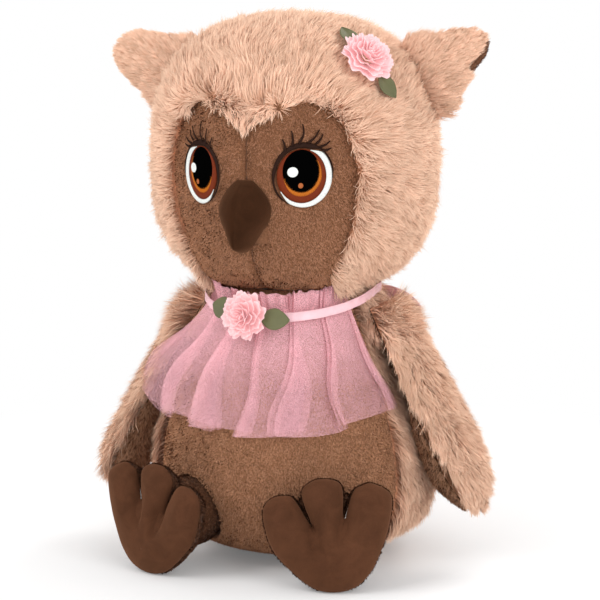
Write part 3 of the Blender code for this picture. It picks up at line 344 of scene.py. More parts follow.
def on_head(point, lift=0.0):
    """The point of the head's skin on the line from its middle through a point, and lifted."""
    ray = unit(point - HEAD_MIDDLE)
    power = head_power(ray[..., 2])
    ring = (ray[..., 0] / HEAD_SIZE[0]) ** 2 + (ray[..., 1] / HEAD_SIZE[1]) ** 2
    reach = (ring ** (power / 2) + np.abs(ray[..., 2] / HEAD_SIZE[2]) ** power) ** (-1 / power)
    skin = ray * reach[..., None]
    return HEAD_MIDDLE + skin + head_normal(skin) * np.asarray(lift)[..., None]


def face_outline():
    """The face's whole outline, seen from the front; the head's fur overhangs its cheeks."""
    half = [(x * HEAD_SIZE[0] * (1 - CHEEK_FUR * rise((-z - 0.3) / 0.6)), HEAD_MIDDLE[2] + z * HEAD_SIZE[2])
            for x, z in FACE_OUTLINE]
    right = curve(half + [(0, HEAD_MIDDLE[2] - HEAD_SIZE[2])], 4)
    return np.concatenate((right, right[-2:0:-1] * (-1, 1)))


def inside_face(points):
    """Distance inside the face's outline of points on the head, far outside on its back."""
    depth = edge_distance(points[..., 0], points[..., 2], face_outline())
    return np.where(points[..., 1] < FORWARD - HEAD_SIZE[1] * 0.25, depth, -0.1)


def face_relief(angle, height):
    """How far the stuffed face stands out of its even layer: it falls away beside the eyes."""
    across = np.abs(HEAD_SIZE[0] * head_girth(height) * np.sin(angle))
    chin = rise((-height / HEAD_SIZE[2] - 0.5) / 0.4)
    return FACE_PROUD - FACE_FALL * rise((across - 0.008) / 0.038) * (1 - chin) + CHIN_PROUD * chin


def on_face(angle, height, across, up, lift):
    """Points over the face at distances across and up from a place on it."""
    turn = across / (HEAD_SIZE[1] * head_girth(np.asarray(height, float)))
    angle, height = np.broadcast_arrays(angle + turn, height + up)
    return head_point(angle, height, PLUSH - FUR + lift + face_relief(angle, height))


# Meshes

def raw_mesh(name, points, faces, uv=None, normals=None):
    """A mesh from arrays; faces all have as many corners."""
    points, faces = np.asarray(points, float).reshape(-1, 3), np.asarray(faces, np.int32)
    count, corners = faces.shape
    mesh = bpy.data.meshes.new(name)
    mesh.vertices.add(len(points))
    mesh.vertices.foreach_set("co", points.astype(np.float32).ravel())
    mesh.loops.add(count * corners)
    mesh.loops.foreach_set("vertex_index", faces.ravel())
    mesh.polygons.add(count)
    mesh.polygons.foreach_set("loop_start", np.arange(0, count * corners, corners, dtype=np.int32))
    mesh.polygons.foreach_set("use_smooth", np.ones(count, bool))
    mesh.update(calc_edges=True)
    if uv is not None:
        layer = mesh.uv_layers.new(name="OFBake")
        layer.uv.foreach_set("vector", uv[faces.ravel()].astype(np.float32).ravel())
    if normals is not None:
        mesh.normals_split_custom_set_from_vertices(normals.astype(np.float32))
    return mesh


class Grid:
    """Rows and columns of points that make a cloth's surface and that pile can grow from."""

    def __init__(self, points, round_it=False, outward=None):
        self.points = np.asarray(points, float)
        rows, columns = self.points.shape[:2]
        i, j = np.meshgrid(np.arange(rows - 1), np.arange(columns if round_it else columns - 1),
                           indexing="ij")
        a = (i * columns + j).ravel()
        b = (i * columns + (j + 1) % columns).ravel()
        self.quads = np.stack((a, b, b + columns, a + columns), axis=-1)
        flat = self.points.reshape(-1, 3)
        faces = np.cross(flat[self.quads[:, 2]] - flat[self.quads[:, 0]],
                         flat[self.quads[:, 3]] - flat[self.quads[:, 1]])
        away = flat[self.quads].mean(1) - flat.mean(0) if outward is None else outward
        if (unit(faces) * away).sum() < 0:
            self.quads, faces = self.quads[:, ::-1], -faces
        self.normals = np.zeros_like(flat)
        for k in range(4):
            np.add.at(self.normals, self.quads[:, k], faces)
        self.normals = unit(self.normals)

    def mesh(self, name):
        """The grid's cloth as a mesh."""
        return raw_mesh(name, self.points, self.quads)

    def scatter(self, per_square_mm, rng, keep=None):
        """Random places over the surface with their normals."""
        flat = self.points.reshape(-1, 3)
        corners = np.concatenate((self.quads[:, :3], self.quads[:, (0, 2, 3)]))
        a, b, c = (flat[corners[:, k]] for k in range(3))
        area = np.linalg.norm(np.cross(b - a, c - a), axis=-1) / 2
        pick = rng.choice(len(corners), int(area.sum() * 1e6 * per_square_mm), p=area / area.sum())
        s, t = rng.random((2, len(pick)))
        over = s + t > 1
        s[over], t[over] = 1 - s[over], 1 - t[over]
        shares = np.stack((1 - s - t, s, t), axis=-1)[..., None]
        places = (flat[corners[pick]] * shares).sum(1)
        normals = unit((self.normals[corners[pick]] * shares).sum(1))
        if keep is not None:
            kept = keep(places)
            places, normals = places[kept], normals[kept]
        return places, normals


def joined(name, grids):
    """One mesh of several grids."""
    points = [grid.points.reshape(-1, 3) for grid in grids]
    starts = np.cumsum([0] + [len(each) for each in points[:-1]])
    faces = [grid.quads + start for grid, start in zip(grids, starts)]
    return raw_mesh(name, np.concatenate(points), np.concatenate(faces))


def shell(name, outer, inner, round_it=False):
    """A closed mesh between two grids of points of the same size, walled round their open edges."""
    rows, columns = outer.shape[:2]
    grid = Grid(outer, round_it)
    other = rows * columns
    faces = [grid.quads, grid.quads[:, ::-1] + other]
    edges = [np.arange(columns), (rows - 1) * columns + np.arange(columns)]
    if round_it:
        edges = [np.append(e, e[0]) for e in edges]
    else:
        edges += [np.arange(rows) * columns, np.arange(rows) * columns + columns - 1]
    for edge in edges:
        faces.append(np.stack((edge[:-1], edge[1:], edge[1:] + other, edge[:-1] + other), axis=-1))
    mesh = raw_mesh(name, np.concatenate((outer.reshape(-1, 3), inner.reshape(-1, 3))), np.concatenate(faces))
    return settled(mesh)


def tube(name, rings):
    """A closed mesh of rings of points, its ends drawn to their middles."""
    first, last = (np.broadcast_to(end.mean(1, keepdims=True), end.shape) for end in (rings[:1], rings[-1:]))
    return settled(Grid(np.concatenate((first, rings, last)), round_it=True).mesh(name))


def settled(mesh):
    """The mesh with doubled points joined and its faces turned outwards."""
    work = bmesh.new()
    work.from_mesh(mesh)
    bmesh.ops.remove_doubles(work, verts=work.verts, dist=1e-6)
    bmesh.ops.recalc_face_normals(work, faces=work.faces)
    work.to_mesh(mesh)
    work.free()
    return mesh


def piece(name, mesh, body, cloth, slot, replaces=()):
    """A named piece of a finish that rides on a body and stands for its CAD nodes."""
    made = bpy.data.objects.new(name, mesh)
    bpy.context.scene.collection.objects.link(made)
    mesh.materials.clear()
    mesh.materials.append(cloth_of(cloth))
    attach(made, body)
    if replaces:
        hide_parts(*replaces)
    return made


def thicken(made, name, thickness, offset):
    """Gives a sheet's mesh a thickness, inwards at -1 and both ways at 0."""
    thick = made.modifiers.new(name, "SOLIDIFY")
    thick.thickness, thick.offset = thickness, offset


def pile(name, body, cloth, slot, roots, normals, comb, length, width, seed, lean=0.8, bend=1.0, tone=0.5,
         clump=0.0036, pull=0.48, steps=3, wild=0.28, grain=0.1):
    """Strands that grow from roots, lean over along the comb and draw together in locks.

    Clump is a lock's width and pull how closely its strands follow their leader. Wild is how far
    strands go astray, and grain how much they differ in tone.
    """
    rng = np.random.default_rng(seed)
    count = len(roots)
    shortest, longest, leader_wildness, lock_grain, floor_room = 0.72, 1.12, 1.6, 0.16, 0.0004
    length = np.broadcast_to(length, count) * rng.uniform(shortest, longest, count)
    lean, bend = np.broadcast_to(lean, count)[:, None], np.broadcast_to(bend, count)[:, None]
    locks = max(int(count * min(1, 1e-6 / clump ** 2 * 0.45)), 4)
    leaders = rng.choice(count, locks, replace=False)
    astray = rng.normal(size=(count, 3)) * wild
    astray[leaders] *= leader_wildness
    # Each strand's points, bending over more and more on its way.
    points, ways = [roots], []
    for k in range(steps):
        t = k / max(steps - 1, 1)
        way = unit(normals * (1 - 0.75 * bend * t) + comb * (lean + bend * t) + astray * (0.6 + 0.6 * t))
        ways.append(way)
        points.append(points[-1] + way * (length / steps)[:, None])
    points = np.stack(points, axis=1)
    # Locks: every strand is drawn to its nearest leader, most at its tip, and none goes below the floor.
    tree = KDTree(len(leaders))
    for n, leader in enumerate(leaders):
        tree.insert(roots[leader], n)
    tree.balance()
    chief = leaders[[tree.find(p)[1] for p in roots]]
    for k in range(1, steps + 1):
        share = pull * rng.uniform(0.2, 1.5, count) * (k / steps) ** 1.2
        points[:, k] += (points[chief, k] - points[:, k]) * np.clip(share, 0, 0.92)[:, None]
    points[..., 2] = np.maximum(points[..., 2], floor_room)
    # A flat, pointed strip for each strand, rolled a little at random and shaded like the cloth.
    side = unit(np.cross(ways[0], normals) + rng.normal(size=(count, 3)) * 0.05)
    roll = rng.uniform(-0.9, 0.9, count)[:, None]
    side = side * np.cos(roll) + np.cross(ways[0], side) * np.sin(roll)
    face = np.cross(side, ways[-1])
    side = np.where((face * normals).sum(-1, keepdims=True) < 0, -side, side)
    shade = unit(normals + unit(np.cross(side, ways[-1])) * 0.35 + rng.normal(size=(count, 3)) * 0.08)
    half = np.broadcast_to(width, count)[:, None] / 2
    vertices, along = [], []
    for k in range(steps):
        swell = 1 - 0.55 * (k / steps) ** 2
        vertices += [points[:, k] - side * half * swell, points[:, k] + side * half * swell]
        along += [k / steps] * 2
    vertices = np.stack(vertices + [points[:, -1]], axis=1)
    along = np.array(along + [1.0])
    faces = []
    for k in range(steps - 1):
        a = 2 * k
        faces += [(a, a + 1, a + 3), (a, a + 3, a + 2)]
    faces = np.array(faces + [(2 * steps - 2, 2 * steps - 1, 2 * steps)])
    # Across the texture lies a strand's tone, which its lock shares, and up it the way to its tip.
    own, shared = rng.normal(size=(2, count))
    tone = np.clip(np.broadcast_to(tone, count) + own * grain + shared[chief] * lock_grain, 0, 0.999)
    left = (np.floor(tone * PILE_TONES) + 0.15) / PILE_TONES
    u = np.stack([left, left + 0.7 / PILE_TONES] * steps + [left + 0.35 / PILE_TONES], axis=1)
    uv = np.stack((u, np.broadcast_to(along * 0.98 + 0.01, u.shape)), axis=-1)
    per_piece = LARGEST_PILE // len(faces)
    each = vertices.shape[1]
    order = np.argsort(np.arctan2(roots[:, 0], FORWARD - roots[:, 1]), kind="stable")
    for number, start in enumerate(range(0, count, per_piece)):
        mine = order[start:start + per_piece]
        corners = (faces[None] + (np.arange(len(mine)) * each)[:, None, None]).reshape(-1, 3)
        mesh = raw_mesh(name, vertices[mine], corners, uv[mine].reshape(-1, 2),
                        np.repeat(shade[mine], each, axis=0))
        label = name if count <= per_piece else f"{name}_{number + 1}"
        piece(label, mesh, body, cloth, slot)


# Finishes

class Wire:
    """A value or colour in a cloth's nodes; arithmetic on it adds Math nodes."""

    def __init__(self, cloth, socket):
        self.cloth, self.socket = cloth, socket

    def _maths(self, operation, first, second):
        return self.cloth.node("ShaderNodeMath", {"operation": operation}, {0: first, 1: second})

    def __add__(self, other):
        return self._maths("ADD", self, other)

    __radd__ = __add__

    def __mul__(self, other):
        return self._maths("MULTIPLY", self, other)

    __rmul__ = __mul__

    def __sub__(self, other):
        return self._maths("SUBTRACT", self, other)

    def __rsub__(self, other):
        return self._maths("SUBTRACT", other, self)

    def __pow__(self, other):
        return self._maths("POWER", self, other)

    def __rpow__(self, other):
        return self._maths("POWER", other, self)


class Cloth:
    """A cloth's material, made of nodes."""

    def __init__(self, name, roughness=0.9, sheen=0.0, sheen_tint=(1, 1, 1), specular=0.3):
        self.material = bpy.data.materials.new(name)
        self.material.use_nodes = True
        self.tree = self.material.node_tree
        self.shader = self.tree.nodes["Principled BSDF"]
        self.set({"Roughness": roughness, "Sheen Weight": sheen, "Sheen Roughness": 0.5,
                  "Sheen Tint": (*sheen_tint, 1), "Specular IOR Level": specular})

    def set(self, values, node=None):
        """Gives a node's sockets values or links."""
        node = node or self.shader
        for key, value in values.items():
            if isinstance(value, Wire):
                self.tree.links.new(value.socket, node.inputs[key])
            else:
                node.inputs[key].default_value = value

    def node(self, kind, settings=None, values=None, output=0):
        """Adds a node, sets it up, feeds its sockets and returns one of its outputs."""
        made = self.tree.nodes.new(kind)
        for key, value in (settings or {}).items():
            if key == "stops":
                for place, colour in value[:-2]:
                    made.color_ramp.elements.new(place)
                for stop, (place, colour) in zip(made.color_ramp.elements, value):
                    stop.position, stop.color = place, (*colour, 1)
            else:
                setattr(made, key, value)
        self.set(values or {}, made)
        return Wire(self, made.outputs[output])

    def place(self):
        """Where a point lies on its own piece."""
        return self.node("ShaderNodeTexCoord", output="Object")

    def noise(self, scale, detail=3.0, roughness=0.55, distortion=0.0):
        """Soft clouds, about 0.5; scale counts them on a metre."""
        return self.node("ShaderNodeTexNoise", {}, {"Vector": self.place(), "Scale": scale,
                                                    "Detail": detail, "Roughness": roughness,
                                                    "Distortion": distortion})

    def blend(self, share, low, high, kind="MIX"):
        """A colour between two, each a colour or a link to one."""
        low = (*low, 1) if isinstance(low, tuple) else low
        high = (*high, 1) if isinstance(high, tuple) else high
        return self.node("ShaderNodeMix", {"data_type": "RGBA", "blend_type": kind, "clamp_factor": True},
                         {0: share, 6: low, 7: high}, output=2)

    def spread(self, wire, low, high):
        """A value drawn out so that low becomes 0 and high becomes 1."""
        return self.node("ShaderNodeMapRange", {"clamp": True},
                         {"Value": wire, "From Min": low, "From Max": high})

    def bump(self, height, strength, distance):
        """Relief from a height."""
        self.set({"Normal": self.node("ShaderNodeBump", {}, {"Height": height, "Strength": strength,
                                                            "Distance": distance})})


def shaded(colour, share):
    """A colour made darker or lighter."""
    return tuple(min(c * share, 1.0) for c in colour)


def pile_cloth(name, root, tip, dark=0.72, light=1.16, sheen=0.2):
    """Pile: dark at its root and light at its tip, each strand a little different in tone. The dark root is
    partly the pile's own colour and partly painted shade deep in the pile.
    """
    cloth = Cloth(name, roughness=0.9, sheen=sheen, sheen_tint=tip, specular=0.05)
    uv = cloth.node("ShaderNodeUVMap", {"uv_map": "OFBake"})
    u = cloth.node("ShaderNodeSeparateXYZ", {}, {0: uv}, output=0)
    v = cloth.node("ShaderNodeSeparateXYZ", {}, {0: uv}, output=1)
    # Root to tip: the darker root is partly the cloth's own colour and partly painted shade deep in the pile.
    along = cloth.blend(v ** 0.8, root, tip)
    cream, cream_share = (1.0, 0.9, 0.8), 0.04
    warm = cloth.blend(u, shaded(root, dark), cream)
    tone = cloth.blend(u, (dark, dark * 0.96, dark * 0.92), (light, light, light))
    tinted = cloth.blend(cream_share, along, warm)
    cloth.set({"Base Color": cloth.blend(1.0, tinted, tone, "MULTIPLY")})
    return cloth.material


def ground_cloth(name, colour, dark=0.6):
    """The knitted ground that pile stands on: mottled, and darker than its pile as painted shade between the
    strands.
    """
    cloth = Cloth(name, roughness=0.95, sheen=0.1, specular=0.1)
    grain = cloth.noise(900, 4)
    patches = cloth.noise(70, 2)
    # Its dark end is painted shade between the strands; the mottling is the knit's own.
    cloth.set({"Base Color": cloth.blend(cloth.spread(grain + patches * 0.5, 0.5, 1.0),
                                         shaded(colour, dark), shaded(colour, 1.05))})
    cloth.bump(grain, 0.6, 0.0008)
    return cloth.material


def suede_cloth(name, colour):
    """Brushed suede cloth: a fine nap with paler patches of painted sheen."""
    cloth = Cloth(name, roughness=0.92, sheen=0.3, sheen_tint=paint(196, 140, 104), specular=0.04)
    nap = cloth.noise(1400, 4, 0.7)
    brushed = cloth.noise(110, 3, 0.6, distortion=0.8)
    # Broad paler patches: painted sheen.
    painted_sheen = cloth.noise(34, 2)
    tone = cloth.spread(nap * 0.3 + brushed * 0.5 + painted_sheen * 0.5, 0.45, 0.9)
    cloth.set({"Base Color": cloth.blend(tone, shaded(colour, 0.7), shaded(colour, 1.3))})
    cloth.bump(nap * 0.5 + brushed, 0.4, 0.0004)
    return cloth.material


def thread_cloth(name, colour, roughness=0.55, specular=0.12):
    """Embroidery thread: a soft gloss with fine twist."""
    cloth = Cloth(name, roughness=roughness, specular=specular)
    twist = cloth.noise(1600, 2, 0.6)
    cloth.set({"Base Color": cloth.blend(cloth.spread(twist, 0.3, 0.7),
                                         shaded(colour, 0.82), shaded(colour, 1.1))})
    cloth.bump(twist, 0.35, 0.0002)
    return cloth.material


def ribbon_cloth(name, colour, gloss=0.38, ribs=0.55, painted_glow=0.0):
    """Woven ribbon: fine ribs across it, a satin face and a painted glow of emission that lightens its shade.
    """
    cloth = Cloth(name, roughness=gloss, sheen=0.3, sheen_tint=shaded(colour, 1.2), specular=0.45)
    weave = cloth.noise(2200, 2, 0.5)
    folds = cloth.noise(160, 3)
    # Colour darker in the hollows of the small folds and lighter on their tops: painted shade and light of
    # the folds.
    cloth.set({"Base Color": cloth.blend(cloth.spread(folds * 0.8 + weave * 0.4, 0.35, 0.85),
                                         shaded(colour, 0.8), shaded(colour, 1.08)),
               "Roughness": folds * 0.25 + (gloss - 0.1)})
    cloth.bump(weave + folds * 0.5, ribs, 0.0003)
    # Painted glow: emission in the ribbon's own colour lightens it where it lies in shade.
    cloth.set({"Emission Color": (*colour, 1), "Emission Strength": painted_glow})
    return cloth.material


def tulle_cloth(name, colour, cover):
    """Tulle: a fine net that lets what lies under it show through, denser where it is gathered."""
    cloth = Cloth(name, roughness=0.6, sheen=0.3, sheen_tint=shaded(colour, 1.2), specular=0.1)
    place = cloth.place()
    meshes_per_metre, thread_start, thread_end = 1100.0, 0.04, 0.16
    net_share, gather_share, cloud_share, open_share = 0.38, 0.36, 0.1, 0.33
    net = cloth.node("ShaderNodeTexVoronoi", {"feature": "DISTANCE_TO_EDGE"},
                     {"Vector": place, "Scale": meshes_per_metre})
    threads = 1 - cloth.spread(net, thread_start, thread_end)
    soft = cloth.noise(90, 3)
    height = cloth.node("ShaderNodeSeparateXYZ", {}, {0: place}, output=2)
    gathered = cloth.spread(height, BODY_HEIGHT * 0.66, BODY_HEIGHT * 0.94)
    cloth.set({"Base Color": cloth.blend(soft, shaded(colour, 0.9), shaded(colour, 1.08)),
               "Alpha": (threads * net_share + gathered * gather_share + soft * cloud_share
                         + (cover - open_share))})
    cloth.material.surface_render_method = "DITHERED"
    return cloth.material


def filling_cloth(name, colour, scale=420):
    """Loose fibre filling."""
    cloth = Cloth(name, roughness=0.95, sheen=0.5, specular=0.1)
    fibre = cloth.noise(scale, 6, 0.7, distortion=1.5)
    cloth.set({"Base Color": cloth.blend(fibre, shaded(colour, 0.75), shaded(colour, 1.1))})
    cloth.bump(fibre, 0.8, 0.002)
    return cloth.material


made_cloths = {}


def cloth_of(key):
    """One of the owl's finishes, made once from the colours in the sidebar."""
    chosen = bpy.context.scene.owl_colours
    colour = {each: tuple(getattr(chosen, each)) for each in chosen.__annotations__}
    cover = bpy.context.scene.owl_sizes.tulle_cover
    # The grounds are darker copies of their piles' colours: painted shade between the strands.
    makers = {
        # Each pile's root is darker than its tip, partly as painted shade deep in the pile.
        "fur": lambda: pile_cloth("apricot_fur", colour["fur_root"], colour["fur_tip"],
                                  dark=0.76, light=1.12, sheen=0.7),
        "fur_ground": lambda: ground_cloth("apricot_ground", colour["fur_root"]),
        "face": lambda: pile_cloth("face_plush", shaded(colour["face"], 0.42), colour["face"],
                                   dark=0.74, light=1.22, sheen=0.0),
        "face_ground": lambda: ground_cloth("face_ground", shaded(colour["face"], 0.6)),
        "belly": lambda: pile_cloth("belly_plush", shaded(colour["belly"], 0.42), colour["belly"],
                                    dark=0.78, light=1.2, sheen=0.0),
        "belly_ground": lambda: ground_cloth("belly_ground", shaded(colour["belly"], 0.6)),
        "dark": lambda: pile_cloth("dark_plush_pile", shaded(colour["dark"], 0.3), colour["dark"],
                                   dark=0.6, light=1.3, sheen=0.05),
        "lining": lambda: pile_cloth("lining_plush", shaded(colour["belly"], 0.3),
                                     shaded(colour["belly"], 0.62), dark=0.7, light=1.3, sheen=0.05),
        "dark_ground": lambda: ground_cloth("dark_ground", shaded(colour["dark"], 0.5)),
        "suede": lambda: suede_cloth("sole_suede", colour["suede"]),
        "beak": lambda: suede_cloth("beak_suede", colour["beak"]),
        "tulle": lambda: tulle_cloth("pink_tulle_net", colour["tulle"], cover),
        "satin": lambda: ribbon_cloth("pink_satin_ribbon", colour["satin"]),
        # The rosettes' ribbon glows with painted light.
        "rose": lambda: ribbon_cloth("pink_rose_ribbon", colour["rose"], gloss=0.6, ribs=0.5,
                                     painted_glow=0.13),
        "leaf": lambda: ribbon_cloth("olive_ribbon_cloth", colour["leaf"], gloss=0.5),
        "white": lambda: thread_cloth("white_thread", colour["white"]),
        "iris": lambda: thread_cloth("iris_thread", colour["iris"]),
        "amber": lambda: thread_cloth("amber_thread", colour["amber"]),
        "lid": lambda: thread_cloth("lid_thread", colour["lid"], roughness=0.7),
        "pupil": lambda: thread_cloth("pupil_thread", paint(3, 3, 3), roughness=0.8, specular=0),
        "spark": lambda: thread_cloth("spark_thread", paint(166, 92, 48)),
        "filling": lambda: filling_cloth("polyester_filling", paint(236, 236, 232)),
        "bag": lambda: filling_cloth("bean_bag_weave", paint(214, 214, 208), scale=1500),
    }
    if key not in made_cloths:
        made_cloths[key] = makers[key]()
    return made_cloths[key]


# Head

def head_grid(lift, rows=64, columns=120):
    """The head's surface at a lift, from its neck to its crown."""
    lat = np.linspace(HEAD_BOTTOM, math.pi / 2 - 0.004, rows)[:, None]
    angle, height = np.broadcast_arrays(all_round(columns), HEAD_SIZE[2] * np.sin(lat))
    points = head_point(angle, height, lift(head_point(angle, height)) if callable(lift) else lift)
    points[..., 2] = np.maximum(points[..., 2], BODY_HEIGHT + GAP)
    return points


def head_backing_lift(points):
    """Where the knitted ground lies: under the long pile, and a little deeper behind the face."""
    under_fur, under_face = -0.0064, 0.0082
    angle = np.arctan2(points[..., 0], FORWARD - points[..., 1])
    relief = face_relief(angle, points[..., 2] - HEAD_MIDDLE[2])
    return mix(under_fur, relief - under_face, rise(inside_face(points) / 0.004 + 1.5))


def make_head_fur():
    """The fur cover's knitted ground and its long pile, combed back from the face and down."""
    sizes = bpy.context.scene.owl_sizes
    ground = head_grid(head_backing_lift)
    piece("head_cover", tube("head_cover", ground), "head", "fur_ground", "apricot_fur",
          ["head_fur_shell"])
    rng = np.random.default_rng(11)
    grid = Grid(head_grid(lambda p: head_backing_lift(p) + 0.0006, 110, 240), round_it=True)
    roots, normals = grid.scatter(sizes.fur_density, rng,
                                  lambda p: (inside_face(p) < 0.002) & (p[:, 2] > BODY_HEIGHT + 4 * GAP))
    depth = -inside_face(roots)
    crown = (roots[:, 2] - HEAD_MIDDLE[2]) / HEAD_SIZE[2]
    back = rise((roots[:, 1] - FORWARD) / 0.05)
    wish = vec(0.5 * np.clip(roots[:, 0] / 0.06, -1, 1), mix(1, 0.2, back),
               mix(mix(-0.75, 0.75, rise((crown + 0.45) / 1.1)), -1, back))
    wish = wish + swirls(roots, 0.028, (1, 2, 3), 0.75)
    neck = rise((crown + 0.98) / 0.25)
    rim = (1 - rise(depth / 0.008)) * (roots[:, 1] < FORWARD)
    inwards = unit(vec(0.0 * crown, FORWARD - HEAD_SIZE[1], HEAD_MIDDLE[2] + 0 * crown) - roots)
    fringe = rim * rise((crown - 0.05) / 0.25) * np.exp(-(roots[:, 0] / 0.02) ** 2)
    comb = turned(normals, wish * (1 - fringe)[:, None] + inwards * fringe[:, None])
    length = sizes.fur_length * mix(1.25, 1, neck) * mix(1.08, 0.75, rim)
    lean = mix(0.85, mix(0.2, 0.9, fringe), rim)
    bend = mix(1.1, mix(0.6, 1, fringe), rim)
    flower = head_point(np.array(HEAD_ROSETTE_ANGLE), np.array(HEAD_ROSETTE_SHARE * HEAD_SIZE[2]))
    flower_reach = 0.022
    by_flower = np.exp(-(np.linalg.norm(roots - flower, axis=-1) / flower_reach) ** 4)
    length = length * mix(1, 0.5, by_flower)
    lean = mix(lean, 1.6, by_flower)
    tone = 0.5 + 0.16 * lumps(roots, 0.03, 7) + 0.12 * crown + 0.2 * rim
    pile("head_fur", "head", "fur", "apricot_fur", roots, normals, comb, length, sizes.fur_width, 12,
         lean, bend, tone, pull=mix(0.48, 0.2, rim * (1 - fringe)))


def make_face():
    """The two halves of the face, sewn together down a seam that the pile dips into."""
    sizes = bpy.context.scene.owl_sizes
    rng = np.random.default_rng(21)
    step = math.radians(1.1)
    for side, turn in SIDES:
        angle = turn * np.arange(0, 66)[None] * step
        height = HEAD_SIZE[2] * np.sin(np.linspace(HEAD_BOTTOM, math.radians(34), 110))[:, None]
        angle, height = np.broadcast_arrays(angle, height)
        skin = head_point(angle, height)
        ground_depth, seam_width, seam_depth = 0.0068, 0.0016, 0.001
        seam = np.exp(-(skin[..., 0] / seam_width) ** 2)
        unevenness = 0.0003 * lumps(skin, 0.02, 5)
        deep = -ground_depth - seam_depth * seam + unevenness + face_relief(angle, height)
        surface = head_point(angle, height, deep)
        surface[..., 2] = np.maximum(surface[..., 2], BODY_HEIGHT + 2 * GAP)
        grid = Grid(surface, outward=FRONT)
        inside = inside_face(grid.points)
        keep = (inside.reshape(-1)[grid.quads] > -0.003).all(1)
        mesh = raw_mesh(f"face_{side}", grid.points, grid.quads[keep])
        lined = piece(f"face_{side}", mesh, "head", "face_ground", "brown_plush", [f"face_panel_{side}"])
        thicken(lined, "cloth", 0.0008, -1)

        def keep_pile(p, turn=turn):
            """Where the face's pile grows: not under an eye, the beak or the neck."""
            u, v = eye_place(p, turn)
            beak_room, beak_start, beak_share, neck_room, under_eye = 0.011, 0.004, 0.85, 0.0015, 0.97
            beak_top = HEAD_MIDDLE[2] - BEAK_DROP
            beak = (np.abs(p[:, 0]) < beak_room) & (p[:, 2] < beak_top - beak_start) & (
                p[:, 2] > beak_top - BEAK_LENGTH * beak_share)
            bare = (np.hypot(u, v) <= under_eye) | beak | (p[:, 2] <= BODY_HEIGHT + neck_room)
            return (inside_face(p) > -0.002) & ~bare

        roots, normals = grid.scatter(sizes.plush_density, rng, keep_pile)
        near = np.exp(-(roots[:, 0] / 0.0022) ** 2)
        away = np.sign(roots[:, :1]) * np.array((1.0, 0, 0))
        comb = turned(normals, UP * -0.9 + away * (0.35 + 1.2 * near[:, None])
                      + swirls(roots, 0.012, (4, 5, 6), 0.9))
        # Tone: darker down the seam and lighter lower on the face, which leaves its top darker under the fur;
        # both are painted shade.
        tone = (0.42 + 0.14 * lumps(roots, 0.007, 9, 3) - 0.32 * near
                + 0.2 * rise((HEAD_MIDDLE[2] - roots[:, 2]) / 0.05))
        pile(f"face_plush_{side}", "head", "face", "brown_plush", roots, normals, comb,
             sizes.plush_length * (1 - 0.35 * near), sizes.plush_width, 22 + turn, lean=0.45, bend=0.6,
             tone=tone, grain=0.22, **SHORT_TUFTS)


def eye_place(points, turn):
    """Where points lie over an eye, in its half widths and half heights."""
    angle = np.arctan2(points[:, 0], FORWARD - points[:, 1])
    up = points[:, 2] - HEAD_MIDDLE[2] + EYE_DROP
    across = (angle * turn - EYE_ANGLE) * HEAD_SIZE[1] * head_girth(np.array(-EYE_DROP))
    return across / (EYE_WIDTH / 2), up / (EYE_HEIGHT / 2)


# Places on an eye, in its half widths and half heights; across runs outwards, away from the beak.
EYE_MIDDLE = (0, 0)
PUPIL, PUPIL_SIZE = (-0.095, 0.16), (0.62, 0.665)
IRIS, IRIS_SIZE = (-0.062, 0.0), (0.84, 0.845)
GLINT, GLINT_SIZE = (-0.39, 0.14), (0.175, 0.155)
SPARK, SPARK_SIZE = (-0.13, -0.28), (0.085, 0.085)
LASHES = (((-0.62, 0.79), (-0.65, 0.97), (-0.72, 1.14)), ((-0.4, 0.94), (-0.385, 1.17), (-0.43, 1.4)),
          ((-0.18, 1.0), (-0.03, 1.3), (-0.06, 1.62)), ((0.12, 1.02), (0.37, 1.22), (0.52, 1.45)),
          ((0.4, 1.0), (0.56, 1.14), (0.65, 1.32)), ((0.52, 0.9), (0.73, 0.96), (0.89, 1.08)),
          ((0.62, 0.8), (0.78, 0.8), (0.93, 0.86)))


def stitched_band(place, middle, inner, outer, start, end, lift, puff, thread):
    """Satin stitches side by side across a band between two distances from a middle."""
    mean = (inner(np.array((start + end) / 2)) + outer(np.array((start + end) / 2))) / 2
    threads = max(int(abs(end - start) * mean * EYE_WIDTH / 2 / thread), 6)
    angle = np.linspace(start, end, 2 * threads + 1)
    share = np.linspace(0, 1, 5)[:, None]
    reach = mix(inner(angle)[None], outer(angle)[None], share)
    ridge = (np.arange(len(angle)) % 2) * thread * 0.3
    height = lift + puff * np.sqrt(np.clip(1 - (2 * share - 1) ** 4, 0, 1)) + ridge[None]
    return Grid(place(middle[0] + reach * np.cos(angle), middle[1] + reach * np.sin(angle), height),
                outward=FRONT)


def stitched_disc(place, middle, size, lift, puff, thread):
    """Satin stitches side by side across an oval."""
    threads = max(int(size[1] * EYE_HEIGHT / thread), 6)
    up = np.linspace(-0.999, 0.999, 2 * threads + 1)[:, None]
    share = np.sin(np.linspace(-1, 1, 21) * math.pi / 2)[None]
    half = np.sqrt(1 - up ** 2)
    ridge = (np.arange(len(up)) % 2)[:, None] * thread * 0.3
    height = lift + puff * np.sqrt(np.clip(1 - (half * share) ** 2 - up ** 2, 0, 1)) + ridge
    return Grid(place(middle[0] + size[0] * half * share, middle[1] + size[1] * up, height), outward=FRONT)


def iris_edge(angle):
    """The iris's edge as a distance from the eye's middle."""
    x, y = np.cos(angle) / IRIS_SIZE[0], np.sin(angle) / IRIS_SIZE[1]
    a = x * x + y * y
    b = -(x * IRIS[0] / IRIS_SIZE[0] + y * IRIS[1] / IRIS_SIZE[1])
    c = (IRIS[0] / IRIS_SIZE[0]) ** 2 + (IRIS[1] / IRIS_SIZE[1]) ** 2 - 1
    return (-b + np.sqrt(b * b - a * c)) / a


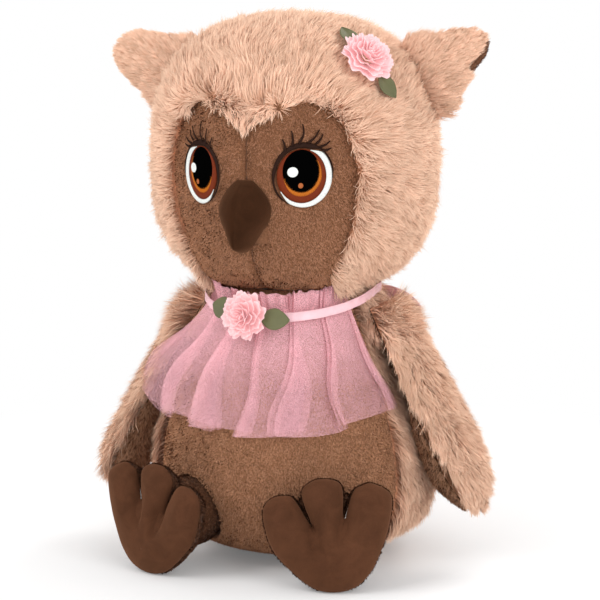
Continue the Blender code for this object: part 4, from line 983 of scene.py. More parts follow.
def between(angle, start, start_width, end, end_width):
    """A smooth bump over a span of angles in degrees, with how wide its two ends are."""
    degrees = np.degrees(angle)
    return rise((degrees - start) / start_width) * rise((end - degrees) / end_width)


# Edges of the eye's bands: distances from a middle at angles round it.

def lid_inner(angle):
    """The lid's lower edge, which follows the iris's top."""
    return mix(0.985, iris_edge(angle) + 0.03, between(angle, 52, 30, 196, 30))


def lid_outer(angle):
    """The lid's upper edge, a little outside the eye."""
    return mix(0.995, 1.05, between(angle, -6, 22, 240, 30))


def white_inner(angle):
    """The white's inner edge, just under the iris's."""
    return iris_edge(angle) - 0.012


def white_outer(angle):
    """The white's outer edge, which meets the iris's at both ends."""
    return mix(iris_edge(angle) + 0.012, 0.975, between(angle, -151, 30, 78, 34))


def amber_outer(angle):
    """The outer edge of the amber ring, widest below the pupil."""
    return 0.99 + mix(0.02, 0.185, between(angle, -165, 60, 35, 60))


def even(distance):
    """A band's edge at the same distance all round."""
    return lambda angle: distance + 0 * angle


def make_eyes():
    """Each eye in seven layers of thread, and the lashes that stand on its lid."""
    thread = bpy.context.scene.owl_sizes.thread
    for side, turn in SIDES:
        def place(u, v, lift, turn=turn):
            return on_face(turn * EYE_ANGLE, -EYE_DROP, turn * u * EYE_WIDTH / 2, v * EYE_HEIGHT / 2, lift)

        def pupil_place(u, v, lift, place=place):
            return place(PUPIL[0] + u * PUPIL_SIZE[0], PUPIL[1] + v * PUPIL_SIZE[1], lift)

        # Name, cloth, place, inner and outer edge, start and end in degrees, lift and puff.
        bands = (("iris", "iris", place, even(0.3), iris_edge, 0, 360, 0.0004, 0.0002),
                 ("amber_ring", "amber", pupil_place, even(0.9), amber_outer, -160, 32, 0.0006, 0.0001),
                 ("white", "white", place, white_inner, white_outer, -150, 76, 0.0006, 0.0003),
                 ("lid", "lid", place, lid_inner, lid_outer, -4, 238, 0.0006, 0.0003))
        # Name, cloth, middle, size, lift and puff.
        discs = (("pupil", "pupil", PUPIL, PUPIL_SIZE, 0.0007, 0.0002),
                 ("glint", "white", (GLINT[0] * turn, GLINT[1]), GLINT_SIZE, 0.001, 0.0002),
                 ("spark", "spark", (SPARK[0] * turn, SPARK[1]), SPARK_SIZE, 0.0009, 0.0002))
        layers = {}
        for name, cloth, over, inner, outer, start, end, lift, puff in bands:
            layers[name] = cloth, stitched_band(over, EYE_MIDDLE, inner, outer, math.radians(start),
                                                math.radians(end), lift, puff, thread)
        for name, cloth, middle, size, lift, puff in discs:
            layers[name] = cloth, stitched_disc(place, middle, size, lift, puff, thread)
        for name in ("iris", "amber_ring", "pupil", "white", "lid", "glint", "spark"):
            cloth, grid = layers[name]
            stands = [f"{side}_eye"] if name == "iris" else ()
            slot = "lash_thread" if name == "lid" else "embroidery_thread"
            made = piece(f"{side}_eye_{name}", grid.mesh(name), "head", cloth, slot, stands)
            thicken(made, "thread", 0.0004, -1)
        make_lashes(side, place)


def make_lashes(side, place):
    """One eye's lashes: raised strokes of thread that narrow to their tips."""
    root_width, tip_width, bed, crown = 0.045, 0.022, 0.0012, 0.0006
    lashes = []
    for stroke in LASHES:
        path = curve(stroke, 6)
        way = unit(np.gradient(path, axis=0))
        across = np.stack((-way[:, 1], way[:, 0]), axis=-1)
        share = np.linspace(0, 1, len(path))
        half = mix(root_width, tip_width, share)
        rows = []
        for t, up in ((-1, 0.0), (-0.5, 0.7), (0, 1.0), (0.5, 0.7), (1, 0.0)):
            at = path + across * (half * t)[:, None]
            rows.append(place(at[:, 0], at[:, 1], bed + crown * up * mix(1, 0.6, share)))
        lashes.append(Grid(np.stack(rows, axis=1), outward=FRONT))
    made = piece(f"{side}_lashes", joined("lashes", lashes), "head", "lid", "lash_thread",
                 [f"{side}_eyelashes"])
    thicken(made, "thread", 0.0005, -1)


def make_beak():
    """A stuffed suede beak with a seam down its ridge that hooks to a narrow tip."""
    wide = through(((0, 0.3), (0.06, 0.5), (0.16, 0.74), (0.3, 0.96), (0.42, 1), (0.58, 0.88), (0.72, 0.64),
                    (0.84, 0.45), (0.94, 0.3), (1, 0.1)))
    far = through(((0, 0.06), (0.06, 0.3), (0.16, 0.56), (0.3, 0.8), (0.45, 0.96), (0.62, 1.05), (0.8, 1.05),
                   (0.93, 0.82), (1, 0.35)))
    down = np.linspace(0, 1, 44)[:, None]
    turn = np.linspace(0, math.pi, 33)[None]
    across = -np.cos(turn)
    seat = on_face(0, -BEAK_DROP - down * BEAK_LENGTH * 0.96,
                   across * wide(down) * BEAK_HALF_WIDTH * 0.95, 0, GAP)
    hook_share, seam_depth, seam_width = 0.35, 0.05, 0.06
    hook = BEAK_REACH * hook_share * rise((down - 0.5) * 2) ** 2
    ridge = 1 - seam_depth * np.exp(-(across / seam_width) ** 2)
    dome = BEAK_REACH * far(down) * np.sqrt(np.clip(1 - across ** 2, 0, 1)) * ridge
    unevenness = 0.0004 * lumps(seat, 0.012, 31)
    front = seat + FRONT * (hook + dome + unevenness)[..., None]
    back = (seat + FRONT * hook[..., None])[:, ::-1]
    rings = np.concatenate((front, back[:, 1:-1]), axis=1)
    piece("stuffed_beak", tube("beak", rings), "head", "beak", "suede", ["beak"])


# Ears and wings

def ear_frame(side):
    """An ear's pivot, the ways across and out along it, and how far it is skewed."""
    turn, height_share, lean, skew = EARS[side]
    pivot = head_point(np.array(turn * EAR_ANGLE), np.array(height_share * HEAD_SIZE[2]), EAR_OFFSET)
    out = np.array((turn * math.cos(lean), 0, math.sin(lean)))
    base = np.array((-turn * math.sin(lean), 0, math.cos(lean)))
    return pivot, base, out, skew


ear_width = through(((0, 1), (0.3, 0.92), (0.6, 0.78), (0.8, 0.64), (0.93, 0.42), (1, 0.14)))
ear_depth = through(((0, 1), (0.4, 0.86), (0.8, 0.66), (0.94, 0.4), (1, 0.05)))


def make_ears():
    """Each ear: a fur front, a short-plush back, both on one rounded root."""
    sizes = bpy.context.scene.owl_sizes
    for side, turn in SIDES:
        pivot, base, out, skew = ear_frame(side)
        along = np.concatenate((EAR_ROOT * np.sin(np.radians(np.linspace(-80, -6, 7))),
                                np.linspace(0, EAR_LENGTH - 0.002, 26)))[:, None]
        t = np.sin(np.linspace(-1, 1, 25) * math.pi / 2)[None]
        share = along / EAR_LENGTH
        half = EAR_HALF_WIDTH * np.where(along > 0, ear_width(share), mix(0.9, 1, 1 + along / EAR_ROOT))
        deep = np.where(along > 0, EAR_ROOT * ear_depth(share),
                        np.sqrt(np.clip(EAR_ROOT ** 2 - along ** 2, 0, 1)))
        under_pile, inward_fold = 0.0035, 0.0055
        folded = inward_fold * (turn > 0) * (t < 0) * rise(share * 1.5)
        half = half - under_pile * rise(share * 4) - folded
        spot = (pivot + out * along[..., None]
                + base * (t * half - skew * np.maximum(along, 0))[..., None])
        swell = deep * np.sqrt(1 - t ** 4)
        fur_front = spot + FRONT * (swell * 0.52)[..., None]
        plush_back = spot - FRONT * (np.maximum(swell - 0.0022, 0.0004))[..., None]
        middle = spot + FRONT * 0.0002
        piece(f"{side}_ear_front", shell("ear", fur_front, middle), f"{side}_ear", "fur_ground",
              "apricot_fur", [f"{side}_ear_fur"])
        piece(f"{side}_ear_back", shell("ear", middle - FRONT * 0.0004, plush_back), f"{side}_ear",
              "dark_ground", "brown_plush", [f"{side}_ear_lining"])
        rng = np.random.default_rng(42 - turn)
        grid = Grid(fur_front, outward=FRONT)
        roots, normals = grid.scatter(sizes.fur_density * 1.7, rng)
        fan = ((roots - pivot) @ base)[:, None] / EAR_HALF_WIDTH
        comb = turned(normals, out + base * fan * 0.55 + swirls(roots, 0.02, (1, 2, 3), 0.25))
        share = np.clip((roots - pivot) @ out / EAR_LENGTH, 0, 1)
        edge = 0.57 - ear_width(share) - 0.05 * lumps(roots, 0.012, 46)
        rim = (fan[:, 0] < edge) & (share > 0.5) & (turn > 0)
        pile(f"{side}_ear_pile", f"{side}_ear", "fur", "apricot_fur", roots[~rim], normals[~rim],
             comb[~rim], sizes.fur_length * mix(0.8, 0.4, share[~rim]), sizes.fur_width, 44, lean=1.1,
             bend=1.5, tone=0.52 + 0.15 * lumps(roots[~rim], 0.015, 47) + 0.1 * np.abs(fan[~rim, 0]))
        if rim.any():
            pile(f"{side}_ear_rim_plush", f"{side}_ear", "dark", "brown_plush", roots[rim],
                 normals[rim], comb[rim], sizes.plush_length * 1.6, sizes.plush_width, 45, lean=0.8,
                 bend=0.9, tone=0.6)
        grid = Grid(plush_back, outward=-FRONT)
        roots, normals = grid.scatter(sizes.plush_density, rng)
        comb = turned(normals, out + 0 * normals)
        pile(f"{side}_ear_back_plush", f"{side}_ear", "dark", "brown_plush", roots, normals, comb,
             sizes.plush_length * 1.5, sizes.plush_width, 48, lean=0.6, bend=0.8, tone=0.6,
             **LINING_TUFTS)


def shoulder_of(turn):
    """A wing's pivot, in its socket at the shoulder."""
    return np.array((turn * (body_radius(SHOULDER) + SHOULDER_OFFSET), FORWARD, SHOULDER))


def wing_frame(turn):
    """A wing's pivot and the ways down along it and out of it."""
    down = np.array((turn * math.sin(WING_SLOPE), 0, -math.cos(WING_SLOPE)))
    out = np.array((turn * math.cos(WING_SLOPE), 0, math.sin(WING_SLOPE)))
    return shoulder_of(turn), down, out


wing_width = through(((0, 0.55), (0.15, 0.78), (0.4, 0.97), (0.58, 1), (0.72, 0.95), (0.83, 0.76),
                      (0.92, 0.47), (0.98, 0.22), (1, 0.1)))
wing_crown = through(((0, 0.9), (0.2, 1), (0.6, 1), (0.75, 0.96), (0.92, 0.75), (0.97, 0.5), (1, 0.04)))


def wing_sheets(turn):
    """A wing's middle sheet, the backing that its long pile stands on and its lining."""
    crown_height, tip_height, fullness = 0.015, 0.003, 0.0105
    under_pile, tip_widening, tip_sweep, shortening = 0.004, 0.004, 0.007, 0.1
    pivot, down, out = wing_frame(turn)
    along = np.concatenate((WING_ROOT * np.sin(np.radians(np.linspace(-80, -8, 8))),
                            np.linspace(0, WING_LENGTH, 54)))[:, None]
    t = np.sin(np.linspace(-1, 1, 33) * math.pi / 2)[None]
    share = along / WING_LENGTH
    start = float(wing_width(0.0))
    half = WING_HALF_WIDTH * np.where(along > 0, wing_width(share), mix(0.5, start, 1 + along / WING_ROOT))
    root = np.sqrt(np.clip(WING_ROOT ** 2 - along ** 2, 0, 1))
    crown = np.where(along > 0, crown_height * wing_crown(share), 0)
    edge = np.sqrt(1 - t ** 4)
    top = mix(root, crown, rise(along / WING_ROOT)) * edge
    flat = np.where(along > 0, tip_height * np.clip((1 - share) / 0.15, 0, 1), 0)
    under = np.maximum(root * (along < WING_ROOT), flat) * edge
    half = half - under_pile * rise(share * 6)
    half = half + tip_widening * rise((share - 0.8) / 0.15)
    along = along * (1 - shortening * rise((share - 0.4) / 0.6))
    share = along / WING_LENGTH
    ahead = t * half + tip_sweep * np.maximum(t, 0) * rise((share - 0.62) / 0.15)
    spot = pivot + down * along[..., None] + FRONT * ahead[..., None]
    backing = spot + out * np.maximum(top - FUR_GROUND, COVER_THICKNESS * edge)[..., None]
    puff = fullness * np.sin(math.pi * np.clip((share - 0.36) / 0.64, 0, 1)) ** 0.8 * edge
    lining = spot - out * (np.maximum(under - 0.0018, 0.0004) + puff)[..., None]
    return spot, backing, lining


def make_wings():
    """Each wing: long pile outside, a dark short-plush lining inside and wadding between."""
    sizes = bpy.context.scene.owl_sizes
    for side, turn in SIDES:
        body = f"{side}_wing"
        pivot, down, out = wing_frame(turn)
        spot, backing, lining = wing_sheets(turn)
        cover = shell("wing", backing, spot + out * 0.0002)
        piece(f"{side}_wing_cover", cover, body, "fur_ground", "apricot_fur", [f"{side}_wing_fur"])
        inner = shell("wing", spot - out * 0.0002, lining)
        piece(f"{side}_wing_inner", inner, body, "dark_ground", "dark_plush", [f"{side}_wing_lining"])
        rng = np.random.default_rng(51 + turn)
        grid = Grid(backing, outward=out)
        roots, normals = grid.scatter(sizes.fur_density * 1.25, rng)
        place = (roots - pivot) @ down / WING_LENGTH
        fan = ((roots - pivot) @ FRONT)[:, None] / WING_HALF_WIDTH
        comb = turned(normals, down + FRONT * fan * 0.6 + swirls(roots, 0.03, (4, 5, 6), 0.4)
                      - out * (1.1 if turn < 0 else 0) * rise((fan - 0.55) / 0.4))
        root = 1 - rise((place + 0.02) / 0.16)
        length = sizes.fur_length * mix(1.15, 0.7, rise((place - 0.7) / 0.3))
        length = length * mix(1, 0.75, np.clip(-fan[:, 0], 0, 1)) * mix(1, 1.4, root)
        length = length * (1 if turn > 0 else 1 + 0.35 * rise((fan[:, 0] - 0.5) / 0.4))
        lean = mix(0.7, 0.34, root)
        rim = (fan[:, 0] > 0.8 - 0.12 * lumps(roots, 0.03, 56)) & (place > 0.3) & (turn > 0)
        # The tone is lighter towards the wing's root: painted light against the shade under the head.
        pile(f"{side}_wing_pile", body, "fur", "apricot_fur", roots[~rim], normals[~rim], comb[~rim],
             length[~rim], sizes.fur_width, 53 + turn, lean=lean[~rim], bend=mix(0.85, 0.3, root)[~rim],
             tone=0.5 + 0.18 * lumps(roots[~rim], 0.022, 57) + 0.4 * root[~rim])
        if rim.any():
            pile(f"{side}_wing_rim_plush", body, "lining", "dark_plush", roots[rim], normals[rim],
                 comb[rim], sizes.plush_length * 1.8, sizes.plush_width, 55 + turn, lean=0.7, bend=0.8,
                 tone=0.7)
        grid = Grid(lining, outward=-out)
        roots, normals = grid.scatter(sizes.plush_density * 0.8, rng)
        cap = (roots - pivot) @ down < WING_ROOT * (0.9 + 0.3 * lumps(roots, 0.01, 61))
        comb = turned(normals[cap], down + FRONT * 0.5 + 0 * normals[cap])
        pile(f"{side}_shoulder_pile", body, "fur", "apricot_fur", roots[cap], normals[cap], comb,
             sizes.fur_length * 0.7, sizes.fur_width, 62 + turn, lean=0.7, bend=0.7, tone=0.75)
        roots, normals = roots[~cap], normals[~cap]
        comb = turned(normals, down + 0 * normals)
        middle = np.clip(((roots - pivot) @ down / WING_LENGTH - 0.35) / 0.5, 0, 1)
        length = sizes.plush_length * mix(1.3, 2.2, np.sin(math.pi * middle))
        pile(f"{side}_wing_lining_plush", body, "lining", "dark_plush", roots, normals, comb,
             length, sizes.plush_width, 58, lean=0.5, bend=0.8, tone=0.6 + 0.2 * lumps(roots, 0.02, 59),
             **LINING_TUFTS)
        wadding = spot[12:50:2, 7:-7:2]
        puff = 0.0012 * np.abs(lumps(wadding, 0.02, 60)) + 0.0004
        piece(f"{side}_wing_filling", shell("wadding", wadding + out * puff[..., None], wadding), body,
              "filling", "polyester_stuffing", [f"{side}_wing_wadding"])


# Body, legs and feet

def body_rows(rows):
    """Heights up the body, closer together at its base and neck."""
    return BODY_HEIGHT * (0.5 - 0.5 * np.cos(np.linspace(0, math.pi, rows)))[:, None]


def body_cut(points):
    """True where the wings' and legs' sockets leave the body's cloth whole."""
    keep = np.ones(points.shape[:-1], bool)
    for _, turn in SIDES:
        away = points - shoulder_of(turn)
        beside = np.abs(away[..., 1]) > SOCKET_HALF_WIDTH
        keep &= (np.hypot(away[..., 0], away[..., 2]) > WING_SOCKET) | beside
        keep &= np.linalg.norm(points - hip_of(turn), axis=-1) > HIP_SOCKET
    return keep


def hip_of(turn):
    """The middle of a leg's ball, on the body's skin."""
    return body_skin(np.array(turn * HIP_ANGLE), np.array(HIP_HEIGHT))


def pressed(points):
    """The body's points pushed out of the wings' and legs' sockets, as cloth sewn round them."""
    for _, turn in SIDES:
        pivot = shoulder_of(turn)
        away = points - pivot
        far = np.linalg.norm(away * (1, 0, 1), axis=-1, keepdims=True)
        near = (far < WING_SOCKET) & (np.abs(away)[..., 1:2] < SOCKET_HALF_WIDTH)
        inward = np.array((-turn, 0, 0)) * WING_SOCKET
        points = np.where(near, points * (0, 1, 1) + (pivot + inward) * (1, 0, 0), points)
        hip = hip_of(turn)
        away = points - hip
        inside = np.linalg.norm(away, axis=-1, keepdims=True) < HIP_SOCKET
        back = unit(hip - np.array((0, FORWARD, HIP_HEIGHT)))
        drop = (away * back).sum(-1, keepdims=True)
        side_way = away - back * drop
        deep = np.sqrt(np.clip(HIP_SOCKET ** 2 - (side_way ** 2).sum(-1, keepdims=True), 0, 1))
        points = np.where(inside, hip + side_way - back * deep, points)
    return points


def make_body():
    """The belly's plush, the back's fur and the base, sewn edge to edge, over the filling."""
    sizes = bpy.context.scene.owl_sizes
    rng = np.random.default_rng(61)
    for name, span, cloth, ground, slot, node in (
            ("belly", (-BELLY_ANGLE, BELLY_ANGLE), "belly", "belly_ground", "brown_plush", "belly_panel"),
            ("back", (BELLY_ANGLE, 2 * math.pi - BELLY_ANGLE), "fur", "fur_ground", "apricot_fur",
             "body_back_fur")):
        angle, height = np.broadcast_arrays(np.linspace(*span, 90)[None], body_rows(70))
        long_pile = name == "back"
        lift = (fur_lift(angle, height) - FUR_GROUND if long_pile else -BELLY_GROUND + 0 * height)
        lift = np.minimum(lift, -COVER_THICKNESS)
        skin = body_point(angle, height, lift)
        skin[..., 2] = np.clip(skin[..., 2], 0.0012, BODY_HEIGHT - 0.0002)
        outer = pressed(skin)
        inner = pressed(body_point(angle, height, lift - COVER_THICKNESS))
        inner[..., 2] = np.clip(inner[..., 2], 0.0014, BODY_HEIGHT - 0.0004)
        piece(f"{name}_cover", shell(name, outer, inner), "torso", ground, slot, [node])
        grid = Grid(skin)
        density = sizes.fur_density * 0.9 if long_pile else sizes.plush_density
        roots, normals = grid.scatter(density, rng, lambda p: body_cut(p) & (p[:, 2] > 0.002))
        place = roots[:, 2] / BODY_HEIGHT
        swirl_size, swirl_share = (0.03, 0.3) if long_pile else (0.012, 0.8)
        comb = turned(normals, -UP + swirls(roots, swirl_size, (1, 2, 3), swirl_share))
        if long_pile:
            at = np.arctan2(roots[:, 0], FORWARD - roots[:, 1])
            stand = fur_lift(at, roots[:, 2]) / FUR_STAND
            shoulder = rise((place - 0.8) / 0.1)
            length = sizes.fur_length * np.maximum(mix(0.75, 1.05, stand), shoulder * 1.35)
            length = length * mix(0.6, 1, rise(roots[:, 2] / 0.03))
            lean = mix(mix(1.0, 0.6, stand), 0.1, shoulder)
            # Tone lighter higher up, and lighter at the shoulders as painted light against the shade under
            # the head.
            tone = 0.5 + 0.16 * lumps(roots, 0.028, 64) + 0.1 * (place - 0.5) + 0.3 * shoulder
            pile("back_fur", "torso", cloth, slot, roots, normals, comb, length, sizes.fur_width,
                 65, lean, tone=tone)
        else:
            tone = 0.48 + 0.12 * lumps(roots, 0.008, 66, 3)
            pile("belly_plush", "torso", cloth, slot, roots, normals, comb, sizes.plush_length,
                 sizes.plush_width, 67, lean=0.45, bend=0.6, tone=tone, grain=0.2, **SHORT_TUFTS)
    make_base_and_filling()


def make_base_and_filling():
    """The base disc with its turned seam, the fillings of body and head, and the bag of beans."""
    around = all_round(96)
    radius = BODY_HALF_WIDTH * BODY_PROFILE[0][1]
    share = np.array((0.02, 0.3, 0.6, 0.85, 0.95, 0.99, 0.95, 0.85, 0.6, 0.3, 0.02))[:, None]
    high = np.array((0, 0, 0, 0, 0.0003, 0.0012, 0.0024, 0.0028, 0.003, 0.003, 0.003))[:, None]
    rings = vec(share * radius * np.sin(around), FORWARD - share * radius * BODY_DEPTH_SHARE * np.cos(around),
                high + 0 * around)
    piece("base_disc", tube("base", rings), "torso", "belly_ground", "brown_plush", ["base_panel"])
    height = np.linspace(0.0075, BODY_HEIGHT - 0.001, 40)[:, None]
    angle, height = np.broadcast_arrays(around[:, ::2], height)
    skin = body_skin(angle, height)
    stuffed = pressed(body_point(angle, height, -0.0055 - 0.0008 * np.abs(lumps(skin, 0.018, 71))))
    stuffed = stuffed + (stuffed - (0, FORWARD, 0)) * (1, 1, 0) * -0.02
    stuffed[..., 2] = np.clip(stuffed[..., 2], 0.0062, BODY_HEIGHT - 0.001)
    piece("body_filling", tube("filling", stuffed), "torso", "filling", "polyester_stuffing",
          ["body_stuffing"])
    bag_half_width, bag_half_depth, bag_height, bag_floor = 0.0258, 0.024, 0.0255, 0.0037
    lean = np.radians(np.linspace(2, 88, 14))[:, None]
    bag = vec(bag_half_width * np.cos(lean) * np.sin(around),
              FORWARD - bag_half_depth * np.cos(lean) * np.cos(around),
              bag_floor + bag_height * np.sin(lean) + 0 * around)
    bag = bag + (bag - (0, FORWARD, 0.01)) * (0.02 * lumps(bag, 0.008, 73) - 0.02)[..., None]
    piece("bag_of_beans", tube("bag", bag), "torso", "bag", "bean_bag_cloth", ["bean_bag"])
    filling = head_grid(lambda p: head_backing_lift(p) - 0.0018, 40, 64)
    filling = filling + (filling - HEAD_MIDDLE) * (-0.012 * np.abs(lumps(filling, 0.02, 75)))[..., None]
    filling[..., 2] = np.maximum(filling[..., 2], BODY_HEIGHT + 0.0006)
    piece("head_filling", tube("filling", filling), "head", "filling", "polyester_stuffing",
          ["head_stuffing"])


def foot_frame(turn):
    """A leg's hip and the ways ahead along it and across it."""
    hip = hip_of(turn)
    ahead = np.array((turn * math.sin(FOOT_YAW), -math.cos(FOOT_YAW), 0))
    across = -np.cross(UP, ahead)
    return hip, ahead, across


def make_legs():
    """Each leg and foot: dark plush behind, a puffed suede sole in front and a seam between."""
    sizes = bpy.context.scene.owl_sizes
    outline = curve(np.array(FOOT_OUTLINE) * FOOT_WIDTH, 5, closed=True)
    middle = np.array(FOOT_MIDDLE) * FOOT_WIDTH
    share = np.sin(np.linspace(0.0004, 1, 36) * math.pi / 2)[:, None]
    flat = middle + (outline[None] - middle) * share[..., None]
    inside = np.maximum(edge_distance(flat[..., 0], flat[..., 1], outline), 0)
    round_reach, crown_reach = 0.0135, 0.02
    puff = np.sqrt(np.clip(1 - (1 - np.clip(inside / round_reach, 0, 1)) ** 2, 0, 1))
    puff = puff * mix(0.82, 1, rise(inside / crown_reach))
    ring = np.sqrt(np.clip(1 - share ** 3, 0, 1)) + 0 * inside
    tuck_length, tuck_width, tuck_depth = 0.014, 0.0032, 0.0062
    tuck = 0
    for x, z in FOOT_NOTCHES:
        down = np.clip((z * FOOT_WIDTH - flat[..., 1]) / tuck_length, 0, 1)
        away = np.hypot(flat[..., 0] - x * FOOT_WIDTH * (1 - 0.3 * down),
                        flat[..., 1] - z * FOOT_WIDTH + tuck_length * down)
        tuck = np.maximum(tuck, np.exp(-(away / tuck_width) ** 2) * (1 - down ** 2))
    for side, turn in SIDES:
        body = f"{side}_leg_and_foot"
        hip, ahead, across = foot_frame(turn)
        seam = hip + ahead * (LEG_CUT + GAP + FOOT_DEPTH)
        spot = seam - across * (flat[..., :1] * turn) + UP * flat[..., 1:]

        def lifted(height, spot=spot, ahead=ahead):
            return spot + ahead * height[..., None]

        crease = 0.0002 * lumps(spot, 0.014, 81 + turn) * puff - tuck_depth * tuck * puff
        sole = lifted(SOLE_PUFF * puff + crease)
        under = lifted(SOLE_PUFF * puff * 0.8 - 0.0009)
        piece(f"{side}_sole", shell("sole", sole, under, round_it=True), body, "suede", "suede",
              [f"{side}_foot_sole"])
        upper = lifted(-np.maximum((FOOT_DEPTH - GAP) * ring - 0.0012, 0.0003))
        lining = lifted(-np.maximum((FOOT_DEPTH - GAP) * ring - 0.0026, 0.0002))
        piece(f"{side}_foot_top", shell("upper", upper, lining, round_it=True), body, "dark_ground",
              "dark_plush", [f"{side}_foot_upper"])
        within = lifted(-(FOOT_DEPTH - 0.005) * ring * 0.96 + 0.0003 * lumps(spot, 0.006, 83))[:-10]
        near_sole = lifted(SOLE_BULGE * ring * 0.3 - 0.0002)[:-10]
        piece(f"{side}_foot_filling", shell("filling", within, near_sole, round_it=True), body,
              "filling", "polyester_stuffing", [f"{side}_foot_stuffing"])
        rng = np.random.default_rng(84 + turn)
        grid = Grid(upper, round_it=True, outward=-ahead)
        roots, normals = grid.scatter(sizes.plush_density, rng)
        comb = turned(normals, UP * -0.6 + ahead)
        pile(f"{side}_foot_plush", body, "dark", "dark_plush", roots, normals, comb,
             sizes.plush_length * 0.9, sizes.plush_width, 86, lean=0.5, bend=0.7,
             tone=0.5 + 0.2 * lumps(roots, 0.01, 87), pull=0.5, **FOOT_TUFTS)
        side_way = np.cross(ahead, UP)
        lean = np.radians(np.linspace(-84, math.degrees(math.asin(LEG_CUT / HIP_RADIUS)), 20))[:, None]
        around = all_round(64)
        radius = HIP_RADIUS - COVER_THICKNESS
        girth = radius * np.cos(lean)
        stub = (hip + ahead * (radius * np.sin(lean) + 0 * around)[..., None]
                + side_way * (girth * np.cos(around))[..., None] + UP * (girth * np.sin(around))[..., None])
        piece(f"{side}_leg_cover", tube("leg", stub), body, "dark_ground", "dark_plush", [f"{side}_leg"])
        grid = Grid(stub[6:], round_it=True)
        roots, normals = grid.scatter(sizes.plush_density, rng)
        comb = turned(normals, ahead + 0 * normals)
        pile(f"{side}_leg_plush", body, "dark", "dark_plush", roots, normals, comb,
             sizes.plush_length * 0.8, sizes.plush_width, 90, lean=0.6, bend=0.7, tone=0.45, pull=0.4,
             **FOOT_TUFTS)


# Tulle and ribbon

def ribbon_middle(angle):
    """The height of the neck ribbon's middle, which dips in front."""
    return RIBBON_HEIGHT - RIBBON_DIP * np.maximum(np.cos(angle), 0) ** 1.2


def cape_points(share, down, folds, depth_share, phase):
    """Points of a layer of the cape: share runs across it, down from its header to its hem."""
    header = np.clip(1 - down / HEADER_SHARE, 0, 1)
    fall = np.clip((down - HEADER_SHARE) / (1 - HEADER_SHARE), 0, 1)
    spread = rise(fall * 1.15)
    # Folds of uneven widths that lap over one another towards the hem.
    place = share + 0.021 * np.sin(share * 9 + phase) + 0.012 * np.sin(share * 23 + 2 * phase)
    place = (place - place.min()) / (place.max() - place.min())
    turn = 2 * math.pi * folds * place + phase
    low, high = -mix(CAPE_ANGLE, CAPE_RIGHT, spread), mix(CAPE_ANGLE, CAPE_LEFT, spread)
    strength = mix(1.5, 2.5 + 1.0 * np.sin(place * 21 + 0.6), spread)
    strength = strength * np.clip(np.minimum(share, 1 - share) * 30, 0, 1)
    angle = mix(low, high, place) - strength * np.sin(turn) * (high - low) / (2 * math.pi * folds)
    angle = angle + 0.06 * spread * np.sin(fall * 5 + place * 9 + 0.4 * phase)
    # The hem rises at both sides, but hangs lower at the owl's right end.
    hem = CAPE_HEM + CAPE_HEM_RISE * (angle / CAPE_RIGHT) ** 2 + 0.0018 * np.sin(share * 31 + phase)
    hem = hem - 0.007 * rise(place * -6 + 1)
    frill = 0.0006 * np.sin(share * 260 + phase) - 0.0012 * (1 - depth_share)
    height = np.minimum(mix(ribbon_middle(angle) + (CAPE_HEADER + frill) * header, hem, fall),
                        BODY_HEIGHT - 2 * GAP)
    # The net stays under the ribbon, and stands off the body in its folds, flare and header.
    depth = mix((RIBBON_LIFT - 7 * GAP) * 0.8, CAPE_DEPTH, np.maximum(spread, header ** 0.5))
    fold = 0.5 + 0.5 * np.sin(turn)
    side = rise((-angle - CAPE_ANGLE / 3) / CAPE_ANGLE)
    flutter = 0.0003 * np.sin(share * 150 + phase) * spread + 0.0012 * header * np.sin(share * 330 + phase)
    net_room, fold_depth, header_stand = 0.0004, 0.003, 0.0065
    lift = (GAP * 2 + net_room + depth * depth_share * fold + CAPE_FLARE * side * spread
            + fold_depth * spread * fold + flutter * depth_share + header_stand * header ** 1.4)
    return body_point(angle, height, np.maximum(lift, GAP))


def make_cape():
    """Two layers of gathered tulle with a ruffled header above the ribbon."""
    folds = bpy.context.scene.owl_sizes.tulle_folds
    share = np.linspace(0, 1, 520)[None]
    down = np.concatenate((np.linspace(0, HEADER_SHARE, 9), np.linspace(0.24, 1, 26)))[:, None]
    share, down = np.broadcast_arrays(share, down)
    for name, depth_share, phase in (("tulle_over", 1.0, 0.0), ("tulle_under", 0.45, 0.7)):
        grid = Grid(cape_points(share, down, folds, depth_share, phase), outward=FRONT)
        made = piece(name, grid.mesh(name), "torso", "tulle", "pink_tulle",
                     ["tulle_cape"] if depth_share == 1 else ())


def make_ribbon():
    """The satin ribbon round the neck over the gathers, with a woven edge."""
    angle = np.linspace(0, 2 * math.pi, 240, endpoint=False)
    middle = ribbon_middle(angle)
    low = middle - RIBBON_HALF_WIDTH
    high = np.minimum(middle + RIBBON_HALF_WIDTH, BODY_HEIGHT - GAP)
    edge = body_point(angle, low - RIBBON_LIFT / 5, RIBBON_LIFT)
    out = unit((edge - (0, FORWARD, 0)) * (1, 1, 0))
    ripple = 0.00015 * np.sin(angle * 23) + 0.0001 * np.sin(angle * 57 + 1)
    section = ((0, 0.0002), (0, 0.0007), (0.06, 0.00085), (0.1, 0.0006), (0.5, 0.0008), (0.9, 0.0006),
               (0.94, 0.00085), (1, 0.0007), (1, 0.0002))
    rings = [vec(edge[:, 0], edge[:, 1], mix(low, high, t)) + out * (deep + ripple)[:, None]
             for t, deep in section]
    rings = np.stack(rings, axis=1)
    grid = Grid(np.concatenate((rings, rings[:1])), round_it=True)
    piece("neck_satin_ribbon", settled(grid.mesh("ribbon")), "torso", "satin", "pink_satin",
          ["neck_ribbon"])


